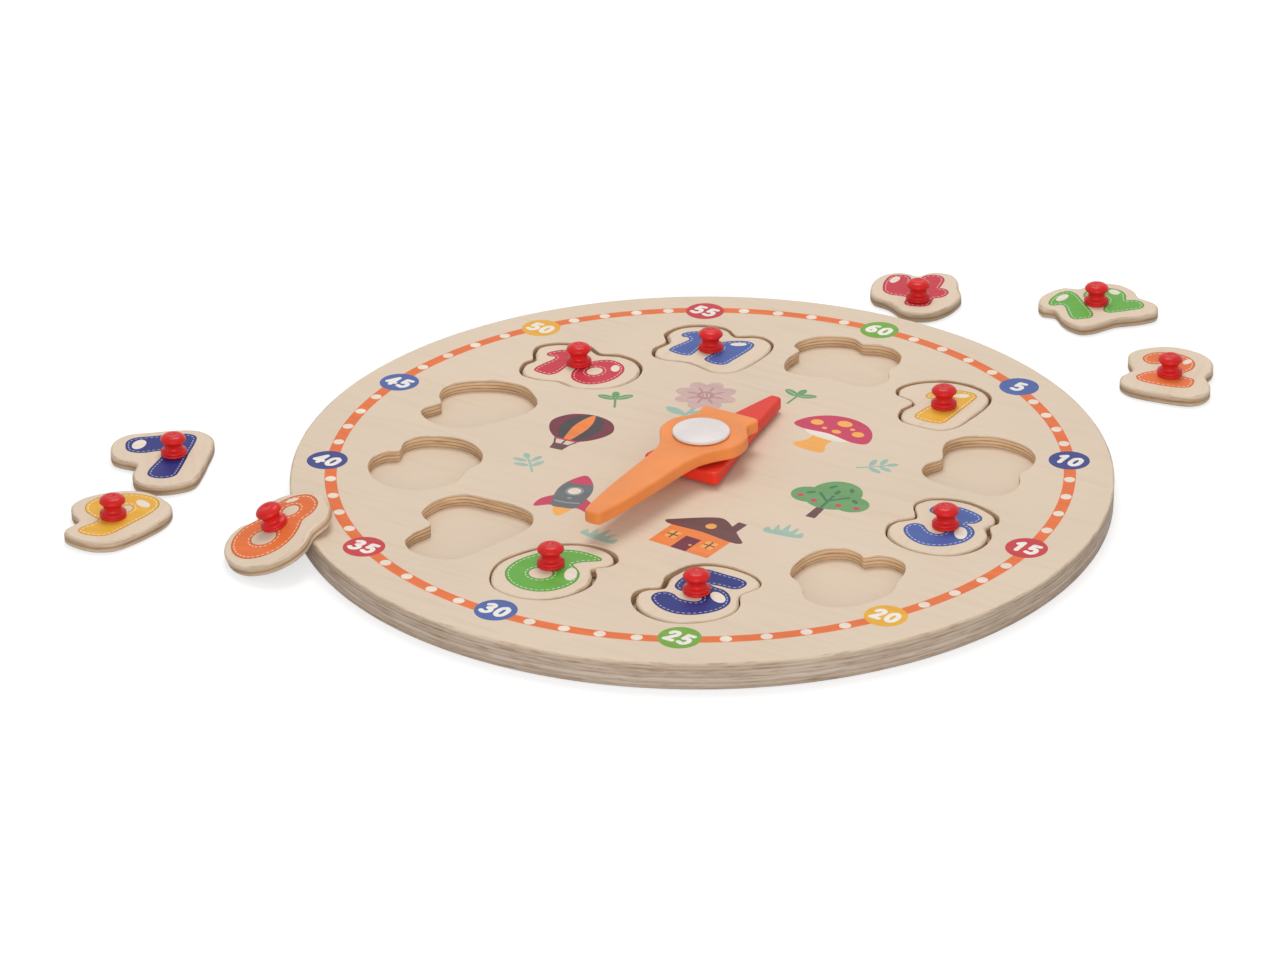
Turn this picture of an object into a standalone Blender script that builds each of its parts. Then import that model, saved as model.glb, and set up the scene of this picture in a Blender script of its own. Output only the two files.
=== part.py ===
"""Wooden clock puzzle: a round plywood board with twelve number pockets,
twelve knobbed number tiles and two hands that turn on a capped pin.

Metres, +Z up. The origin is the centre of the board's underside, +Y points
to twelve o'clock and +X to three o'clock. Tiles 1, 3, 5, 6, 10 and 11 sit in
their pockets, tiles 2, 4, 7, 9 and 12 lie beside the board, and tile 8 leans
on its rim.
"""

import math

import bmesh
import bpy
from mathutils import Matrix, Vector

# Board: two glued plywood discs, the upper one cut through by the pockets.
# The border is the wood between the number tiles' spans and the rim.
BORDER_WIDTH = 0.025
BASE_THICKNESS = 0.0052
TOP_THICKNESS = 0.0045
RIM_ROUNDING = 0.0008
RIM_STEPS = 96

# Small gaps: between glued or resting faces, and round pegs in their holes.
SEAT_GAP = 0.0003
PEG_CLEARANCE = 0.0003
CUT_OVERRUN = 0.001

# Number tiles and the pockets that take them. The bridge is the wood left
# between two neighbouring spans, which sets the radius of the number ring.
TILE_SPAN = 0.050
POCKET_BRIDGE = 0.001764
TILE_THICKNESS = 0.0042
TILE_EDGE_ROUNDING = 0.0009
TILE_EDGE_STEPS = 2
POCKET_CLEARANCE = 0.0010
OUTLINE_SAMPLES = 2

# Knobs, the same on every tile, each with a peg in a blind hole.
KNOB_DIAMETER = 0.0096
KNOB_WAIST_DIAMETER = 0.0066
KNOB_FLANGE_DIAMETER = 0.0098
KNOB_HEIGHT = 0.0080
KNOB_PEG_DIAMETER = 0.0030
KNOB_HOLE_FLOOR = 0.0011
KNOB_STEPS = 16

# Hands. The minute hand stops short of the tiles by the tip gap.
HAND_THICKNESS = 0.0050
HAND_EDGE_ROUNDING = 0.0010
HAND_EDGE_STEPS = 2
MINUTE_TIP_GAP = 0.0016
MINUTE_TAIL = 0.0217
MINUTE_HUB_RADIUS = 0.0166
HOUR_REACH = 0.0534
HOUR_TAIL = 0.0150
HOUR_TAIL_HALF_WIDTH = 0.0157
HOUR_HEADING_DEG = 0.7
MINUTE_HEADING_DEG = 180.5

# Centre pin with its cap, the washers round it and the socket that holds it.
PIN_DIAMETER = 0.0060
PIN_STEPS = 32
CAP_DIAMETER = 0.0210
CAP_RIM_HEIGHT = 0.0012
CAP_CROWN = 0.0014
CAP_CROWN_STEPS = 5
WASHER_WIDTH = 0.0027
WASHER_THICKNESS = 0.0006
SOCKET_WALL = 0.0010
SOCKET_FLANGE_WIDTH = 0.0027
SOCKET_FLANGE_THICKNESS = 0.0013

# The tile that leans on the rim: how far out its low edge stands, and where.
LEANING_TILE = 8
LEAN_FOOT_REACH = 0.0275
LEAN_BEARING_DEG = 230.8
LEAN_SPIN_DEG = -4.5

# Mesh settings.
WELD_DISTANCE = 0.000001
DISPLAY_GAMMA = 2.2

HOURS = range(1, 13)
NUMBER_RING_RADIUS = (TILE_SPAN + POCKET_BRIDGE) / (2 * math.sin(math.pi / len(HOURS)))
BOARD_RADIUS = NUMBER_RING_RADIUS + TILE_SPAN / 2 + BORDER_WIDTH
BOARD_TOP = BASE_THICKNESS + SEAT_GAP + TOP_THICKNESS
MINUTE_REACH = NUMBER_RING_RADIUS - TILE_SPAN / 2 - MINUTE_TIP_GAP
KNOB_PEG_LENGTH = TILE_THICKNESS - KNOB_HOLE_FLOOR
PIN_BORE_RADIUS = PIN_DIAMETER / 2 + PEG_CLEARANCE
SOCKET_RADIUS = PIN_BORE_RADIUS + SOCKET_WALL
SOCKET_FLANGE_RADIUS = SOCKET_RADIUS + SOCKET_FLANGE_WIDTH
SOCKET_LOW = BASE_THICKNESS - SOCKET_FLANGE_THICKNESS

# Pocket outlines, clockwise, as shares of TILE_SPAN from the hour's place on
# the number ring. A tile is its pocket's outline drawn in by the clearance.
POCKET_SHARES = {
    1: ((0.03, 0.47), (0.17, 0.44), (0.28, 0.36), (0.33, 0.24), (0.34, 0.08),
        (0.33, -0.09), (0.31, -0.24), (0.23, -0.35), (0.08, -0.37),
        (-0.08, -0.36), (-0.16, -0.29), (-0.20, -0.16), (-0.18, -0.04),
        (-0.25, 0.00), (-0.35, 0.03), (-0.40, 0.13), (-0.37, 0.25),
        (-0.28, 0.36), (-0.13, 0.45)),
    2: ((-0.37, 0.25), (-0.31, 0.38), (-0.13, 0.50), (0.04, 0.51),
        (0.21, 0.45), (0.32, 0.32), (0.35, 0.16), (0.33, 0.05),
        (0.39, -0.06), (0.42, -0.18), (0.39, -0.30), (0.29, -0.38),
        (0.03, -0.39), (-0.19, -0.36), (-0.30, -0.27), (-0.32, -0.15),
        (-0.27, -0.02), (-0.33, 0.10)),
    3: ((-0.36, 0.25), (-0.31, 0.37), (-0.17, 0.45), (-0.02, 0.47),
        (0.12, 0.44), (0.25, 0.37), (0.30, 0.27), (0.28, 0.19),
        (0.35, 0.08), (0.38, -0.06), (0.35, -0.21), (0.25, -0.34),
        (0.06, -0.41), (-0.14, -0.39), (-0.29, -0.30), (-0.36, -0.15),
        (-0.34, -0.04), (-0.26, 0.06), (-0.33, 0.17)),
    4: ((-0.36, 0.06), (-0.35, 0.18), (-0.29, 0.31), (-0.16, 0.39),
        (-0.05, 0.37), (0.00, 0.34), (0.06, 0.40), (0.15, 0.44),
        (0.29, 0.40), (0.36, 0.27), (0.38, 0.14), (0.42, -0.02),
        (0.38, -0.18), (0.30, -0.32), (0.19, -0.41), (0.05, -0.43),
        (-0.06, -0.38), (-0.14, -0.28), (-0.20, -0.22), (-0.30, -0.16),
        (-0.35, -0.05)),
    5: ((-0.25, 0.34), (-0.16, 0.43), (0.01, 0.47), (0.19, 0.45),
        (0.31, 0.38), (0.34, 0.29), (0.29, 0.14), (0.35, 0.03),
        (0.38, -0.09), (0.34, -0.23), (0.22, -0.37), (0.06, -0.45),
        (-0.10, -0.45), (-0.24, -0.39), (-0.34, -0.28), (-0.37, -0.17),
        (-0.33, -0.09), (-0.26, -0.03), (-0.30, 0.10), (-0.29, 0.22)),
    6: ((-0.18, 0.44), (-0.06, 0.51), (0.08, 0.53), (0.22, 0.49),
        (0.30, 0.39), (0.28, 0.29), (0.22, 0.23), (0.28, 0.15),
        (0.33, 0.00), (0.30, -0.16), (0.21, -0.31), (0.07, -0.39),
        (-0.08, -0.41), (-0.24, -0.37), (-0.35, -0.25), (-0.41, -0.10),
        (-0.41, 0.04), (-0.35, 0.21), (-0.27, 0.34)),
    7: ((-0.34, 0.19), (-0.31, 0.34), (-0.20, 0.45), (-0.02, 0.47),
        (0.20, 0.48), (0.36, 0.44), (0.46, 0.31), (0.47, 0.17),
        (0.42, -0.05), (0.37, -0.25), (0.30, -0.42), (0.14, -0.49),
        (-0.03, -0.48), (-0.16, -0.38), (-0.18, -0.22), (-0.15, -0.08),
        (-0.25, -0.01), (-0.32, 0.06)),
    8: ((-0.35, 0.22), (-0.28, 0.35), (-0.13, 0.43), (0.01, 0.45),
        (0.15, 0.41), (0.27, 0.31), (0.33, 0.18), (0.31, 0.04),
        (0.35, -0.10), (0.32, -0.26), (0.20, -0.40), (0.01, -0.46),
        (-0.19, -0.41), (-0.34, -0.28), (-0.40, -0.12), (-0.37, 0.00),
        (-0.30, 0.06), (-0.33, 0.14)),
    9: ((-0.36, 0.12), (-0.31, 0.26), (-0.17, 0.38), (0.00, 0.45),
        (0.16, 0.44), (0.31, 0.35), (0.41, 0.23), (0.42, 0.06),
        (0.35, -0.12), (0.25, -0.29), (0.15, -0.40), (0.00, -0.44),
        (-0.16, -0.40), (-0.27, -0.32), (-0.28, -0.23), (-0.23, -0.11),
        (-0.30, -0.03)),
    10: ((-0.43, 0.10), (-0.37, 0.21), (-0.24, 0.29), (-0.07, 0.31),
         (0.06, 0.25), (0.19, 0.30), (0.34, 0.29), (0.47, 0.20),
         (0.54, 0.04), (0.53, -0.12), (0.45, -0.26), (0.32, -0.35),
         (0.17, -0.38), (0.05, -0.36), (-0.07, -0.40), (-0.23, -0.40),
         (-0.32, -0.31), (-0.35, -0.19), (-0.33, -0.11), (-0.39, -0.02)),
    11: ((-0.44, 0.14), (-0.40, 0.26), (-0.28, 0.36), (-0.12, 0.41),
         (-0.03, 0.39), (0.06, 0.33), (0.16, 0.39), (0.26, 0.41),
         (0.38, 0.35), (0.44, 0.22), (0.45, 0.03), (0.43, -0.16),
         (0.37, -0.29), (0.24, -0.34), (0.10, -0.31), (-0.01, -0.30),
         (-0.17, -0.34), (-0.30, -0.32), (-0.37, -0.19), (-0.35, -0.05),
         (-0.43, 0.05)),
    12: ((-0.46, 0.22), (-0.39, 0.36), (-0.24, 0.46), (-0.12, 0.48),
         (-0.02, 0.43), (0.08, 0.47), (0.22, 0.47), (0.35, 0.37),
         (0.40, 0.22), (0.39, 0.11), (0.46, -0.02), (0.46, -0.13),
         (0.39, -0.23), (0.22, -0.26), (0.05, -0.25), (-0.09, -0.29),
         (-0.19, -0.31), (-0.29, -0.29), (-0.36, -0.18), (-0.38, -0.06),
         (-0.38, 0.07), (-0.45, 0.12)),
}

# Knob places as shares of TILE_SPAN from the same points.
KNOB_PLACE_SHARES = {
    1: (0.045, 0.045), 2: (0.04, -0.01), 3: (0.005, 0.05), 4: (0.065, -0.135),
    5: (-0.015, 0.03), 6: (-0.07, 0.125), 7: (0.15, 0.045), 8: (-0.065, 0.04),
    9: (0.015, 0.005), 10: (0.015, 0.01), 11: (0.01, 0.02), 12: (0.005, 0.105),
}

# Seated tiles lie loose in their pockets: shares of POCKET_CLEARANCE.
SEAT_SHIFT_SHARES = {
    1: (0.0, 0.0), 3: (-0.5, 0.0), 5: (0.6, 0.3), 6: (-0.6, -0.3),
    10: (0.2, -0.2), 11: (0.2, 0.1),
}

# Two groups of tiles lie beside the board. Each group has a point on the rim
# at a bearing, and its tiles' offsets from there are shares of TILE_SPAN.
LOOSE_BEARING_DEG = {2: 74.9, 4: 74.9, 12: 74.9, 7: 212.0, 9: 212.0}
LOOSE_TURN_DEG = {2: 11.3, 4: 21.8, 12: 48.2, 7: 38.8, 9: 20.6}
LOOSE_OFFSET_SHARES = {
    2: (1.331, 0.464), 4: (-1.071, 0.814), 12: (0.365, 1.298),
    7: (-1.113, -0.204), 9: (-0.791, -1.114),
}

# The knob's section from crown to flange: shares of the head's, the waist's
# or the flange's radius, and of the knob's height.
KNOB_HEAD_SHARES = ((0.00, 0.98), (0.20, 1.00), (0.60, 0.98), (0.90, 0.90), (1.00, 0.78),
                    (0.88, 0.66))
KNOB_WAIST_SHARES = ((1.00, 0.51), (1.00, 0.37))
KNOB_FLANGE_SHARES = ((0.86, 0.25), (1.00, 0.19), (1.00, 0.11), (0.94, 0.085), (1.00, 0.06),
                      (1.00, 0.00))

# Right half of the minute hand: sideways in shares of the hub's radius,
# lengthways in shares of the reach above the hub and of the tail below it.
MINUTE_BLADE_SHARES = ((0.15, 0.994), (0.225, 0.965), (0.34, 0.76), (0.41, 0.53), (0.47, 0.30))
MINUTE_HUB_SHARES = ((0.56, 0.86), (0.79, 0.45), (0.96, 0.18), (1.00, -0.12), (0.95, -0.41))
MINUTE_TAIL_SHARES = ((0.78, 0.50), (0.67, 0.68), (0.72, 0.91), (0.66, 0.985), (0.54, 1.00))

# Right half of the hour hand: shares of its tail's half width, and of the
# reach for the tip and of the tail for the broad end.
HOUR_TIP_SHARES = ((0.115, 0.99), (0.17, 0.96))
HOUR_EDGE_SHARES = ((0.45, 0.50), (0.72, 0.135))
HOUR_TAIL_SHARES = ((1.00, 0.84), (0.965, 0.955), (0.86, 1.00))

WOOD_COLOUR = (0.87, 0.80, 0.71)
PLY_COLOUR = (0.83, 0.74, 0.63)
KNOB_COLOUR = (0.80, 0.07, 0.07)
HOUR_COLOUR = (0.90, 0.25, 0.16)
MINUTE_COLOUR = (0.95, 0.60, 0.36)
CAP_COLOUR = (0.90, 0.89, 0.90)
WASHER_COLOUR = (0.85, 0.85, 0.84)
WOOD_ROUGHNESS = 0.6
PLASTIC_ROUGHNESS = 0.35


def clear_scene():
    """Remove every object that the file opened with."""
    for old in list(bpy.data.objects):
        bpy.data.objects.remove(old, do_unlink=True)


def new_collection(name):
    """Link an empty collection to the scene."""
    collection = bpy.data.collections.new(name)
    bpy.context.scene.collection.children.link(collection)
    return collection


def new_material(name, srgb, roughness):
    """Plain Principled material from a display colour."""
    linear = [channel ** DISPLAY_GAMMA for channel in srgb]
    material = bpy.data.materials.new(name)
    material.use_nodes = True
    shader = material.node_tree.nodes["Principled BSDF"]
    shader.inputs["Base Color"].default_value = (*linear, 1.0)
    shader.inputs["Roughness"].default_value = roughness
    shader.inputs["Metallic"].default_value = 0.0
    return material


def smooth_loop(points, samples):
    """Closed curve through the points, with tangents set by chord length."""
    count = len(points)
    chords = [(points[(i + 1) % count] - points[i]).length for i in range(count)]
    slopes = []
    for i in range(count):
        run = chords[i - 1] + chords[i]
        slopes.append((points[(i + 1) % count] - points[i - 1]) / run)
    loop = []
    for i in range(count):
        start, end = points[i], points[(i + 1) % count]
        leave = slopes[i] * chords[i]
        arrive = slopes[(i + 1) % count] * chords[i]
        for step in range(samples):
            t = step / samples
            loop.append(start * (2 * t ** 3 - 3 * t ** 2 + 1) + leave * (t ** 3 - 2 * t ** 2 + t)
                        + end * (3 * t ** 2 - 2 * t ** 3) + arrive * (t ** 3 - t ** 2))
    return loop


def inset_loop(loop, distance):
    """Draw a clockwise loop in by a distance, along the normal at each point."""
    count = len(loop)
    inset = []
    for i in range(count):
        along = (loop[(i + 1) % count] - loop[i - 1]).normalized()
        inwards = Vector((along.y, -along.x))
        inset.append(loop[i] + inwards * distance)
    return inset


def pocket_loop(hour):
    """Pocket outline of an hour, about the hour's place on the number ring."""
    points = [Vector(share) * TILE_SPAN for share in POCKET_SHARES[hour]]
    return smooth_loop(points, OUTLINE_SAMPLES)


def tile_loop(hour):
    """Tile outline of an hour, about the same point as its pocket."""
    return inset_loop(pocket_loop(hour), POCKET_CLEARANCE)


def hour_place(hour):
    """Point of the number ring at an hour."""
    angle = math.tau * hour / len(HOURS)
    return Vector((math.sin(angle), math.cos(angle))) * NUMBER_RING_RADIUS


def place_object(name, mesh, collection, material):
    """Make an object from a mesh."""
    solid = bpy.data.objects.new(name, mesh)
    collection.objects.link(solid)
    if material:
        mesh.materials.append(material)
    return solid


def flat_mesh(name, loop, low, high):
    """Mesh of a flat outline between two heights, by way of a 2D curve."""
    curve = bpy.data.curves.new(name, "CURVE")
    curve.dimensions = "2D"
    curve.fill_mode = "BOTH"
    curve.extrude = (high - low) / 2
    spline = curve.splines.new("POLY")
    spline.points.add(len(loop) - 1)
    for point, corner in zip(spline.points, loop):
        point.co = (corner.x, corner.y, 0.0, 1.0)
    spline.use_cyclic_u = True
    drawn = bpy.data.objects.new(name + "_outline", curve)
    bpy.context.scene.collection.objects.link(drawn)
    bpy.context.view_layer.update()
    evaluated = drawn.evaluated_get(bpy.context.evaluated_depsgraph_get())
    mesh = bpy.data.meshes.new_from_object(evaluated)
    bpy.data.objects.remove(drawn, do_unlink=True)
    bpy.data.curves.remove(curve)
    welded = bmesh.new()
    welded.from_mesh(mesh)
    bmesh.ops.remove_doubles(welded, verts=welded.verts, dist=WELD_DISTANCE)
    bmesh.ops.translate(welded, verts=welded.verts, vec=(0.0, 0.0, (low + high) / 2))
    bmesh.ops.recalc_face_normals(welded, faces=welded.faces)
    welded.to_mesh(mesh)
    welded.free()
    mesh.name = name
    return mesh


def turned_object(name, profile, steps, collection, material):
    """Turn a profile about Z; it runs down the outer side, top to bottom."""
    mesh = bpy.data.meshes.new(name)
    corners = [(radius, 0.0, height) for radius, height in profile]
    edges = [(i, i + 1) for i in range(len(corners) - 1)]
    mesh.from_pydata(corners, edges, [])
    solid = place_object(name, mesh, collection, material)
    screw = solid.modifiers.new("turn", "SCREW")
    screw.steps = steps
    screw.render_steps = steps
    screw.use_merge_vertices = True
    screw.merge_threshold = WELD_DISTANCE
    screw.use_smooth_shade = False
    return solid


def plate_mesh(name, loop, thickness, rounding, steps):
    """Mesh of a plate on z = 0 whose long edges are rounded, from stacked outlines."""
    quarter = []
    for step in range(steps + 1):
        angle = math.pi / 2 * step / steps
        quarter.append((rounding * (1 - math.sin(angle)), rounding * (1 - math.cos(angle))))
    levels = quarter + [(draw_in, thickness - up) for draw_in, up in reversed(quarter)]
    plate = bmesh.new()
    rings = []
    for draw_in, height in levels:
        outline = inset_loop(loop, draw_in)
        rings.append([plate.verts.new((corner.x, corner.y, height)) for corner in outline])
    plate.faces.new(rings[0])
    for below, above in zip(rings, rings[1:]):
        for i in range(len(loop)):
            plate.faces.new((below[i - 1], below[i], above[i], above[i - 1]))
    plate.faces.new(rings[-1])
    bmesh.ops.recalc_face_normals(plate, faces=plate.faces)
    mesh = bpy.data.meshes.new(name)
    plate.to_mesh(mesh)
    plate.free()
    return mesh


def cut(solid, cutter):
    """Take a cutter's volume out of a solid."""
    boolean = solid.modifiers.new("cut " + cutter.name, "BOOLEAN")
    boolean.operation = "DIFFERENCE"
    boolean.solver = "EXACT"
    boolean.object = cutter


def hide_cutter(cutter):
    """Show a cutter as a wire and keep it out of renders."""
    cutter.hide_render = True
    cutter.display_type = "WIRE"
    return cutter


def bore_cutter(name, radius, low, high, steps, collection):
    """Round cutter about Z between two heights."""
    profile = ((0.0, high), (radius, high), (radius, low), (0.0, low))
    return hide_cutter(turned_object(name, profile, steps, collection, None))


def build_boards(parts, cutters, materials):
    """The base disc, and the top disc with its pockets and pin bore."""
    base_profile = (
        (0.0, BASE_THICKNESS), (BOARD_RADIUS, BASE_THICKNESS),
        (BOARD_RADIUS, RIM_ROUNDING), (BOARD_RADIUS - RIM_ROUNDING, 0.0), (0.0, 0.0))
    base = turned_object("base_board", base_profile, RIM_STEPS, parts, materials["ply"])
    cut(base, bore_cutter("socket_recess", SOCKET_FLANGE_RADIUS + PEG_CLEARANCE,
                          SOCKET_LOW - SEAT_GAP, BASE_THICKNESS + CUT_OVERRUN,
                          PIN_STEPS, cutters))
    low = BASE_THICKNESS + SEAT_GAP
    round_side = RIM_ROUNDING * (1 - math.sqrt(0.5))
    top_profile = (
        (0.0, BOARD_TOP), (BOARD_RADIUS - RIM_ROUNDING, BOARD_TOP),
        (BOARD_RADIUS - round_side, BOARD_TOP - round_side),
        (BOARD_RADIUS, BOARD_TOP - RIM_ROUNDING), (BOARD_RADIUS, low), (0.0, low))
    top = turned_object("top_board", top_profile, RIM_STEPS, parts, materials["wood"])
    cut(top, bore_cutter("socket_bore", SOCKET_RADIUS + PEG_CLEARANCE, low - CUT_OVERRUN,
                         BOARD_TOP + CUT_OVERRUN, PIN_STEPS, cutters))
    for hour in HOURS:
        name = "pocket_%d" % hour
        mesh = flat_mesh(name, pocket_loop(hour), low - CUT_OVERRUN, BOARD_TOP + CUT_OVERRUN)
        cutter = hide_cutter(place_object(name, mesh, cutters, None))
        cutter.location = (*hour_place(hour), 0.0)
        cut(top, cutter)


def hand_heights():
    """Low faces of the hands and washers, and the cap's seat, from the board up."""
    heights = {}
    level = BOARD_TOP
    for name, thickness in (("lower_washer", WASHER_THICKNESS), ("hour_hand", HAND_THICKNESS),
                            ("upper_washer", WASHER_THICKNESS), ("minute_hand", HAND_THICKNESS)):
        heights[name] = level + SEAT_GAP
        level = heights[name] + thickness
    heights["cap"] = level + SEAT_GAP
    return heights


def build_pin(parts, materials, heights):
    """Capped pin, the socket that it snaps into and the two washers."""
    pin_radius = PIN_DIAMETER / 2
    cap_radius = CAP_DIAMETER / 2
    cap_low = heights["cap"]
    rim_top = cap_low + CAP_RIM_HEIGHT
    profile = []
    for step in range(CAP_CROWN_STEPS + 1):
        angle = math.pi / 2 * step / CAP_CROWN_STEPS
        profile.append((cap_radius * math.sin(angle), rim_top + CAP_CROWN * math.cos(angle)))
    profile += [(cap_radius, cap_low), (pin_radius, cap_low),
                (pin_radius, SOCKET_LOW), (0.0, SOCKET_LOW)]
    turned_object("centre_pin", profile, PIN_STEPS, parts, materials["white"])
    socket_profile = (
        (PIN_BORE_RADIUS, BOARD_TOP), (SOCKET_RADIUS, BOARD_TOP),
        (SOCKET_RADIUS, BASE_THICKNESS), (SOCKET_FLANGE_RADIUS, BASE_THICKNESS),
        (SOCKET_FLANGE_RADIUS, SOCKET_LOW), (PIN_BORE_RADIUS, SOCKET_LOW),
        (PIN_BORE_RADIUS, BOARD_TOP))
    turned_object("pin_socket", socket_profile, PIN_STEPS, parts, materials["washer"])
    washer_radius = PIN_BORE_RADIUS + WASHER_WIDTH
    for name in ("lower_washer", "upper_washer"):
        low = heights[name]
        high = low + WASHER_THICKNESS
        ring = ((PIN_BORE_RADIUS, high), (washer_radius, high), (washer_radius, low),
                (PIN_BORE_RADIUS, low), (PIN_BORE_RADIUS, high))
        turned_object(name, ring, PIN_STEPS, parts, materials["washer"])


def mirrored_loop(half):
    """Clockwise loop from its right half, which runs from the tip to the tail."""
    return half + [Vector((-point.x, point.y)) for point in reversed(half)]


def minute_points():
    """Corner points of the minute hand, tip along +Y."""
    hub = MINUTE_HUB_RADIUS
    half = [Vector((hub * side, MINUTE_REACH * along)) for side, along in MINUTE_BLADE_SHARES]
    half += [Vector((hub * side, hub * along)) for side, along in MINUTE_HUB_SHARES]
    half += [Vector((hub * side, -MINUTE_TAIL * along)) for side, along in MINUTE_TAIL_SHARES]
    return mirrored_loop(half)


def hour_points():
    """Corner points of the hour hand, tip along +Y."""
    wide = HOUR_TAIL_HALF_WIDTH
    half = [Vector((wide * side, HOUR_REACH * along)) for side, along in HOUR_TIP_SHARES]
    half += [Vector((wide * side, HOUR_REACH * along)) for side, along in HOUR_EDGE_SHARES]
    half += [Vector((wide * side, -HOUR_TAIL * along)) for side, along in HOUR_TAIL_SHARES]
    return mirrored_loop(half)


def build_hand(name, points, heading_deg, low, parts, cutters, material):
    """Flat hand with a round bore, its origin on the pin's axis."""
    loop = smooth_loop(points, OUTLINE_SAMPLES)
    mesh = plate_mesh(name, loop, HAND_THICKNESS, HAND_EDGE_ROUNDING, HAND_EDGE_STEPS)
    hand = place_object(name, mesh, parts, material)
    hand.location = (0.0, 0.0, low)
    hand.rotation_euler = (0.0, 0.0, -math.radians(heading_deg))
    bore = bore_cutter(name + "_bore", PIN_BORE_RADIUS, -CUT_OVERRUN,
                       HAND_THICKNESS + CUT_OVERRUN, PIN_STEPS, cutters)
    bore.parent = hand
    cut(hand, bore)


def knob_profile():
    """Section of a knob and its peg, from the crown down."""
    profile = []
    for diameter, shares in ((KNOB_DIAMETER, KNOB_HEAD_SHARES),
                             (KNOB_WAIST_DIAMETER, KNOB_WAIST_SHARES),
                             (KNOB_FLANGE_DIAMETER, KNOB_FLANGE_SHARES)):
        profile += [(diameter / 2 * side, KNOB_HEIGHT * up) for side, up in shares]
    peg = KNOB_PEG_DIAMETER / 2
    return profile + [(peg, 0.0), (peg, -KNOB_PEG_LENGTH), (0.0, -KNOB_PEG_LENGTH)]


def bearing_vector(degrees):
    """Unit vector at an angle from +X, anticlockwise."""
    angle = math.radians(degrees)
    return Vector((math.cos(angle), math.sin(angle)))


def leaning_matrix(loop):
    """Pose of the tile that stands on the ground and leans on the board's rim."""
    outwards = bearing_vector(LEAN_BEARING_DEG).to_3d()
    foot_radius = BOARD_RADIUS + LEAN_FOOT_REACH
    tilt = math.atan2(BOARD_TOP + SEAT_GAP, LEAN_FOOT_REACH + RIM_ROUNDING)
    spin = Matrix.Rotation(math.radians(LEAN_SPIN_DEG), 4, "Z")
    foot_reach = max((spin @ point.to_3d()).dot(outwards) for point in loop)
    level_axis = outwards.cross(Vector((0.0, 0.0, 1.0)))
    lean = Matrix.Rotation(-tilt, 4, level_axis)
    place = (outwards * (foot_radius - foot_reach * math.cos(tilt))
             + Vector((0.0, 0.0, foot_reach * math.sin(tilt))))
    return Matrix.Translation(place) @ lean @ spin


def tile_matrix(hour, loop):
    """Where a tile's underside is, and how it is turned."""
    if hour == LEANING_TILE:
        return leaning_matrix(loop)
    if hour in LOOSE_BEARING_DEG:
        rim_point = bearing_vector(LOOSE_BEARING_DEG[hour]) * BOARD_RADIUS
        place = rim_point + Vector(LOOSE_OFFSET_SHARES[hour]) * TILE_SPAN
        turn = Matrix.Rotation(math.radians(LOOSE_TURN_DEG[hour]), 4, "Z")
        return Matrix.Translation(place.to_3d()) @ turn
    place = hour_place(hour) + Vector(SEAT_SHIFT_SHARES[hour]) * POCKET_CLEARANCE
    return Matrix.Translation((place.x, place.y, BASE_THICKNESS + SEAT_GAP))


def build_tile(hour, parts, cutters, materials):
    """One number tile with its knob, both carried by an empty at the tile's place."""
    loop = tile_loop(hour)
    frame = bpy.data.objects.new("tile_%d_frame" % hour, None)
    parts.objects.link(frame)
    frame.matrix_world = tile_matrix(hour, loop)
    name = "tile_%d" % hour
    mesh = plate_mesh(name, loop, TILE_THICKNESS, TILE_EDGE_ROUNDING, TILE_EDGE_STEPS)
    tile = place_object(name, mesh, parts, materials["wood"])
    tile.parent = frame
    knob_place = Vector(KNOB_PLACE_SHARES[hour]) * TILE_SPAN
    hole = bore_cutter("knob_hole_%d" % hour, KNOB_PEG_DIAMETER / 2 + PEG_CLEARANCE,
                       TILE_THICKNESS - KNOB_PEG_LENGTH, TILE_THICKNESS + CUT_OVERRUN,
                       KNOB_STEPS, cutters)
    hole.parent = frame
    hole.location = (knob_place.x, knob_place.y, 0.0)
    cut(tile, hole)
    knob = turned_object("knob_%d" % hour, knob_profile(), KNOB_STEPS, parts, materials["knob"])
    knob.parent = frame
    knob.location = (knob_place.x, knob_place.y, TILE_THICKNESS + SEAT_GAP)


def make_materials():
    """The part's plain colours."""
    return {
        "wood": new_material("pale_wood", WOOD_COLOUR, WOOD_ROUGHNESS),
        "ply": new_material("plywood", PLY_COLOUR, WOOD_ROUGHNESS),
        "knob": new_material("red_knob_plastic", KNOB_COLOUR, PLASTIC_ROUGHNESS),
        "hour": new_material("red_hand_plastic", HOUR_COLOUR, PLASTIC_ROUGHNESS),
        "minute": new_material("orange_hand_plastic", MINUTE_COLOUR, PLASTIC_ROUGHNESS),
        "white": new_material("white_cap_plastic", CAP_COLOUR, PLASTIC_ROUGHNESS),
        "washer": new_material("washer_plastic", WASHER_COLOUR, PLASTIC_ROUGHNESS),
    }


def main():
    """Build the whole puzzle."""
    clear_scene()
    parts = new_collection("wooden_clock_puzzle")
    cutters = new_collection("cutters")
    materials = make_materials()
    heights = hand_heights()
    build_boards(parts, cutters, materials)
    build_pin(parts, materials, heights)
    build_hand("hour_hand", hour_points(), HOUR_HEADING_DEG, heights["hour_hand"],
               parts, cutters, materials["hour"])
    build_hand("minute_hand", minute_points(), MINUTE_HEADING_DEG, heights["minute_hand"],
               parts, cutters, materials["minute"])
    for hour in HOURS:
        build_tile(hour, parts, cutters, materials)
    bpy.context.view_layer.update()


main()
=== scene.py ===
"""Looks of the wooden clock puzzle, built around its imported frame."""

import math

import bmesh
import bpy
import numpy as np
from mathutils import Matrix, Vector, geometry


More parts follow.
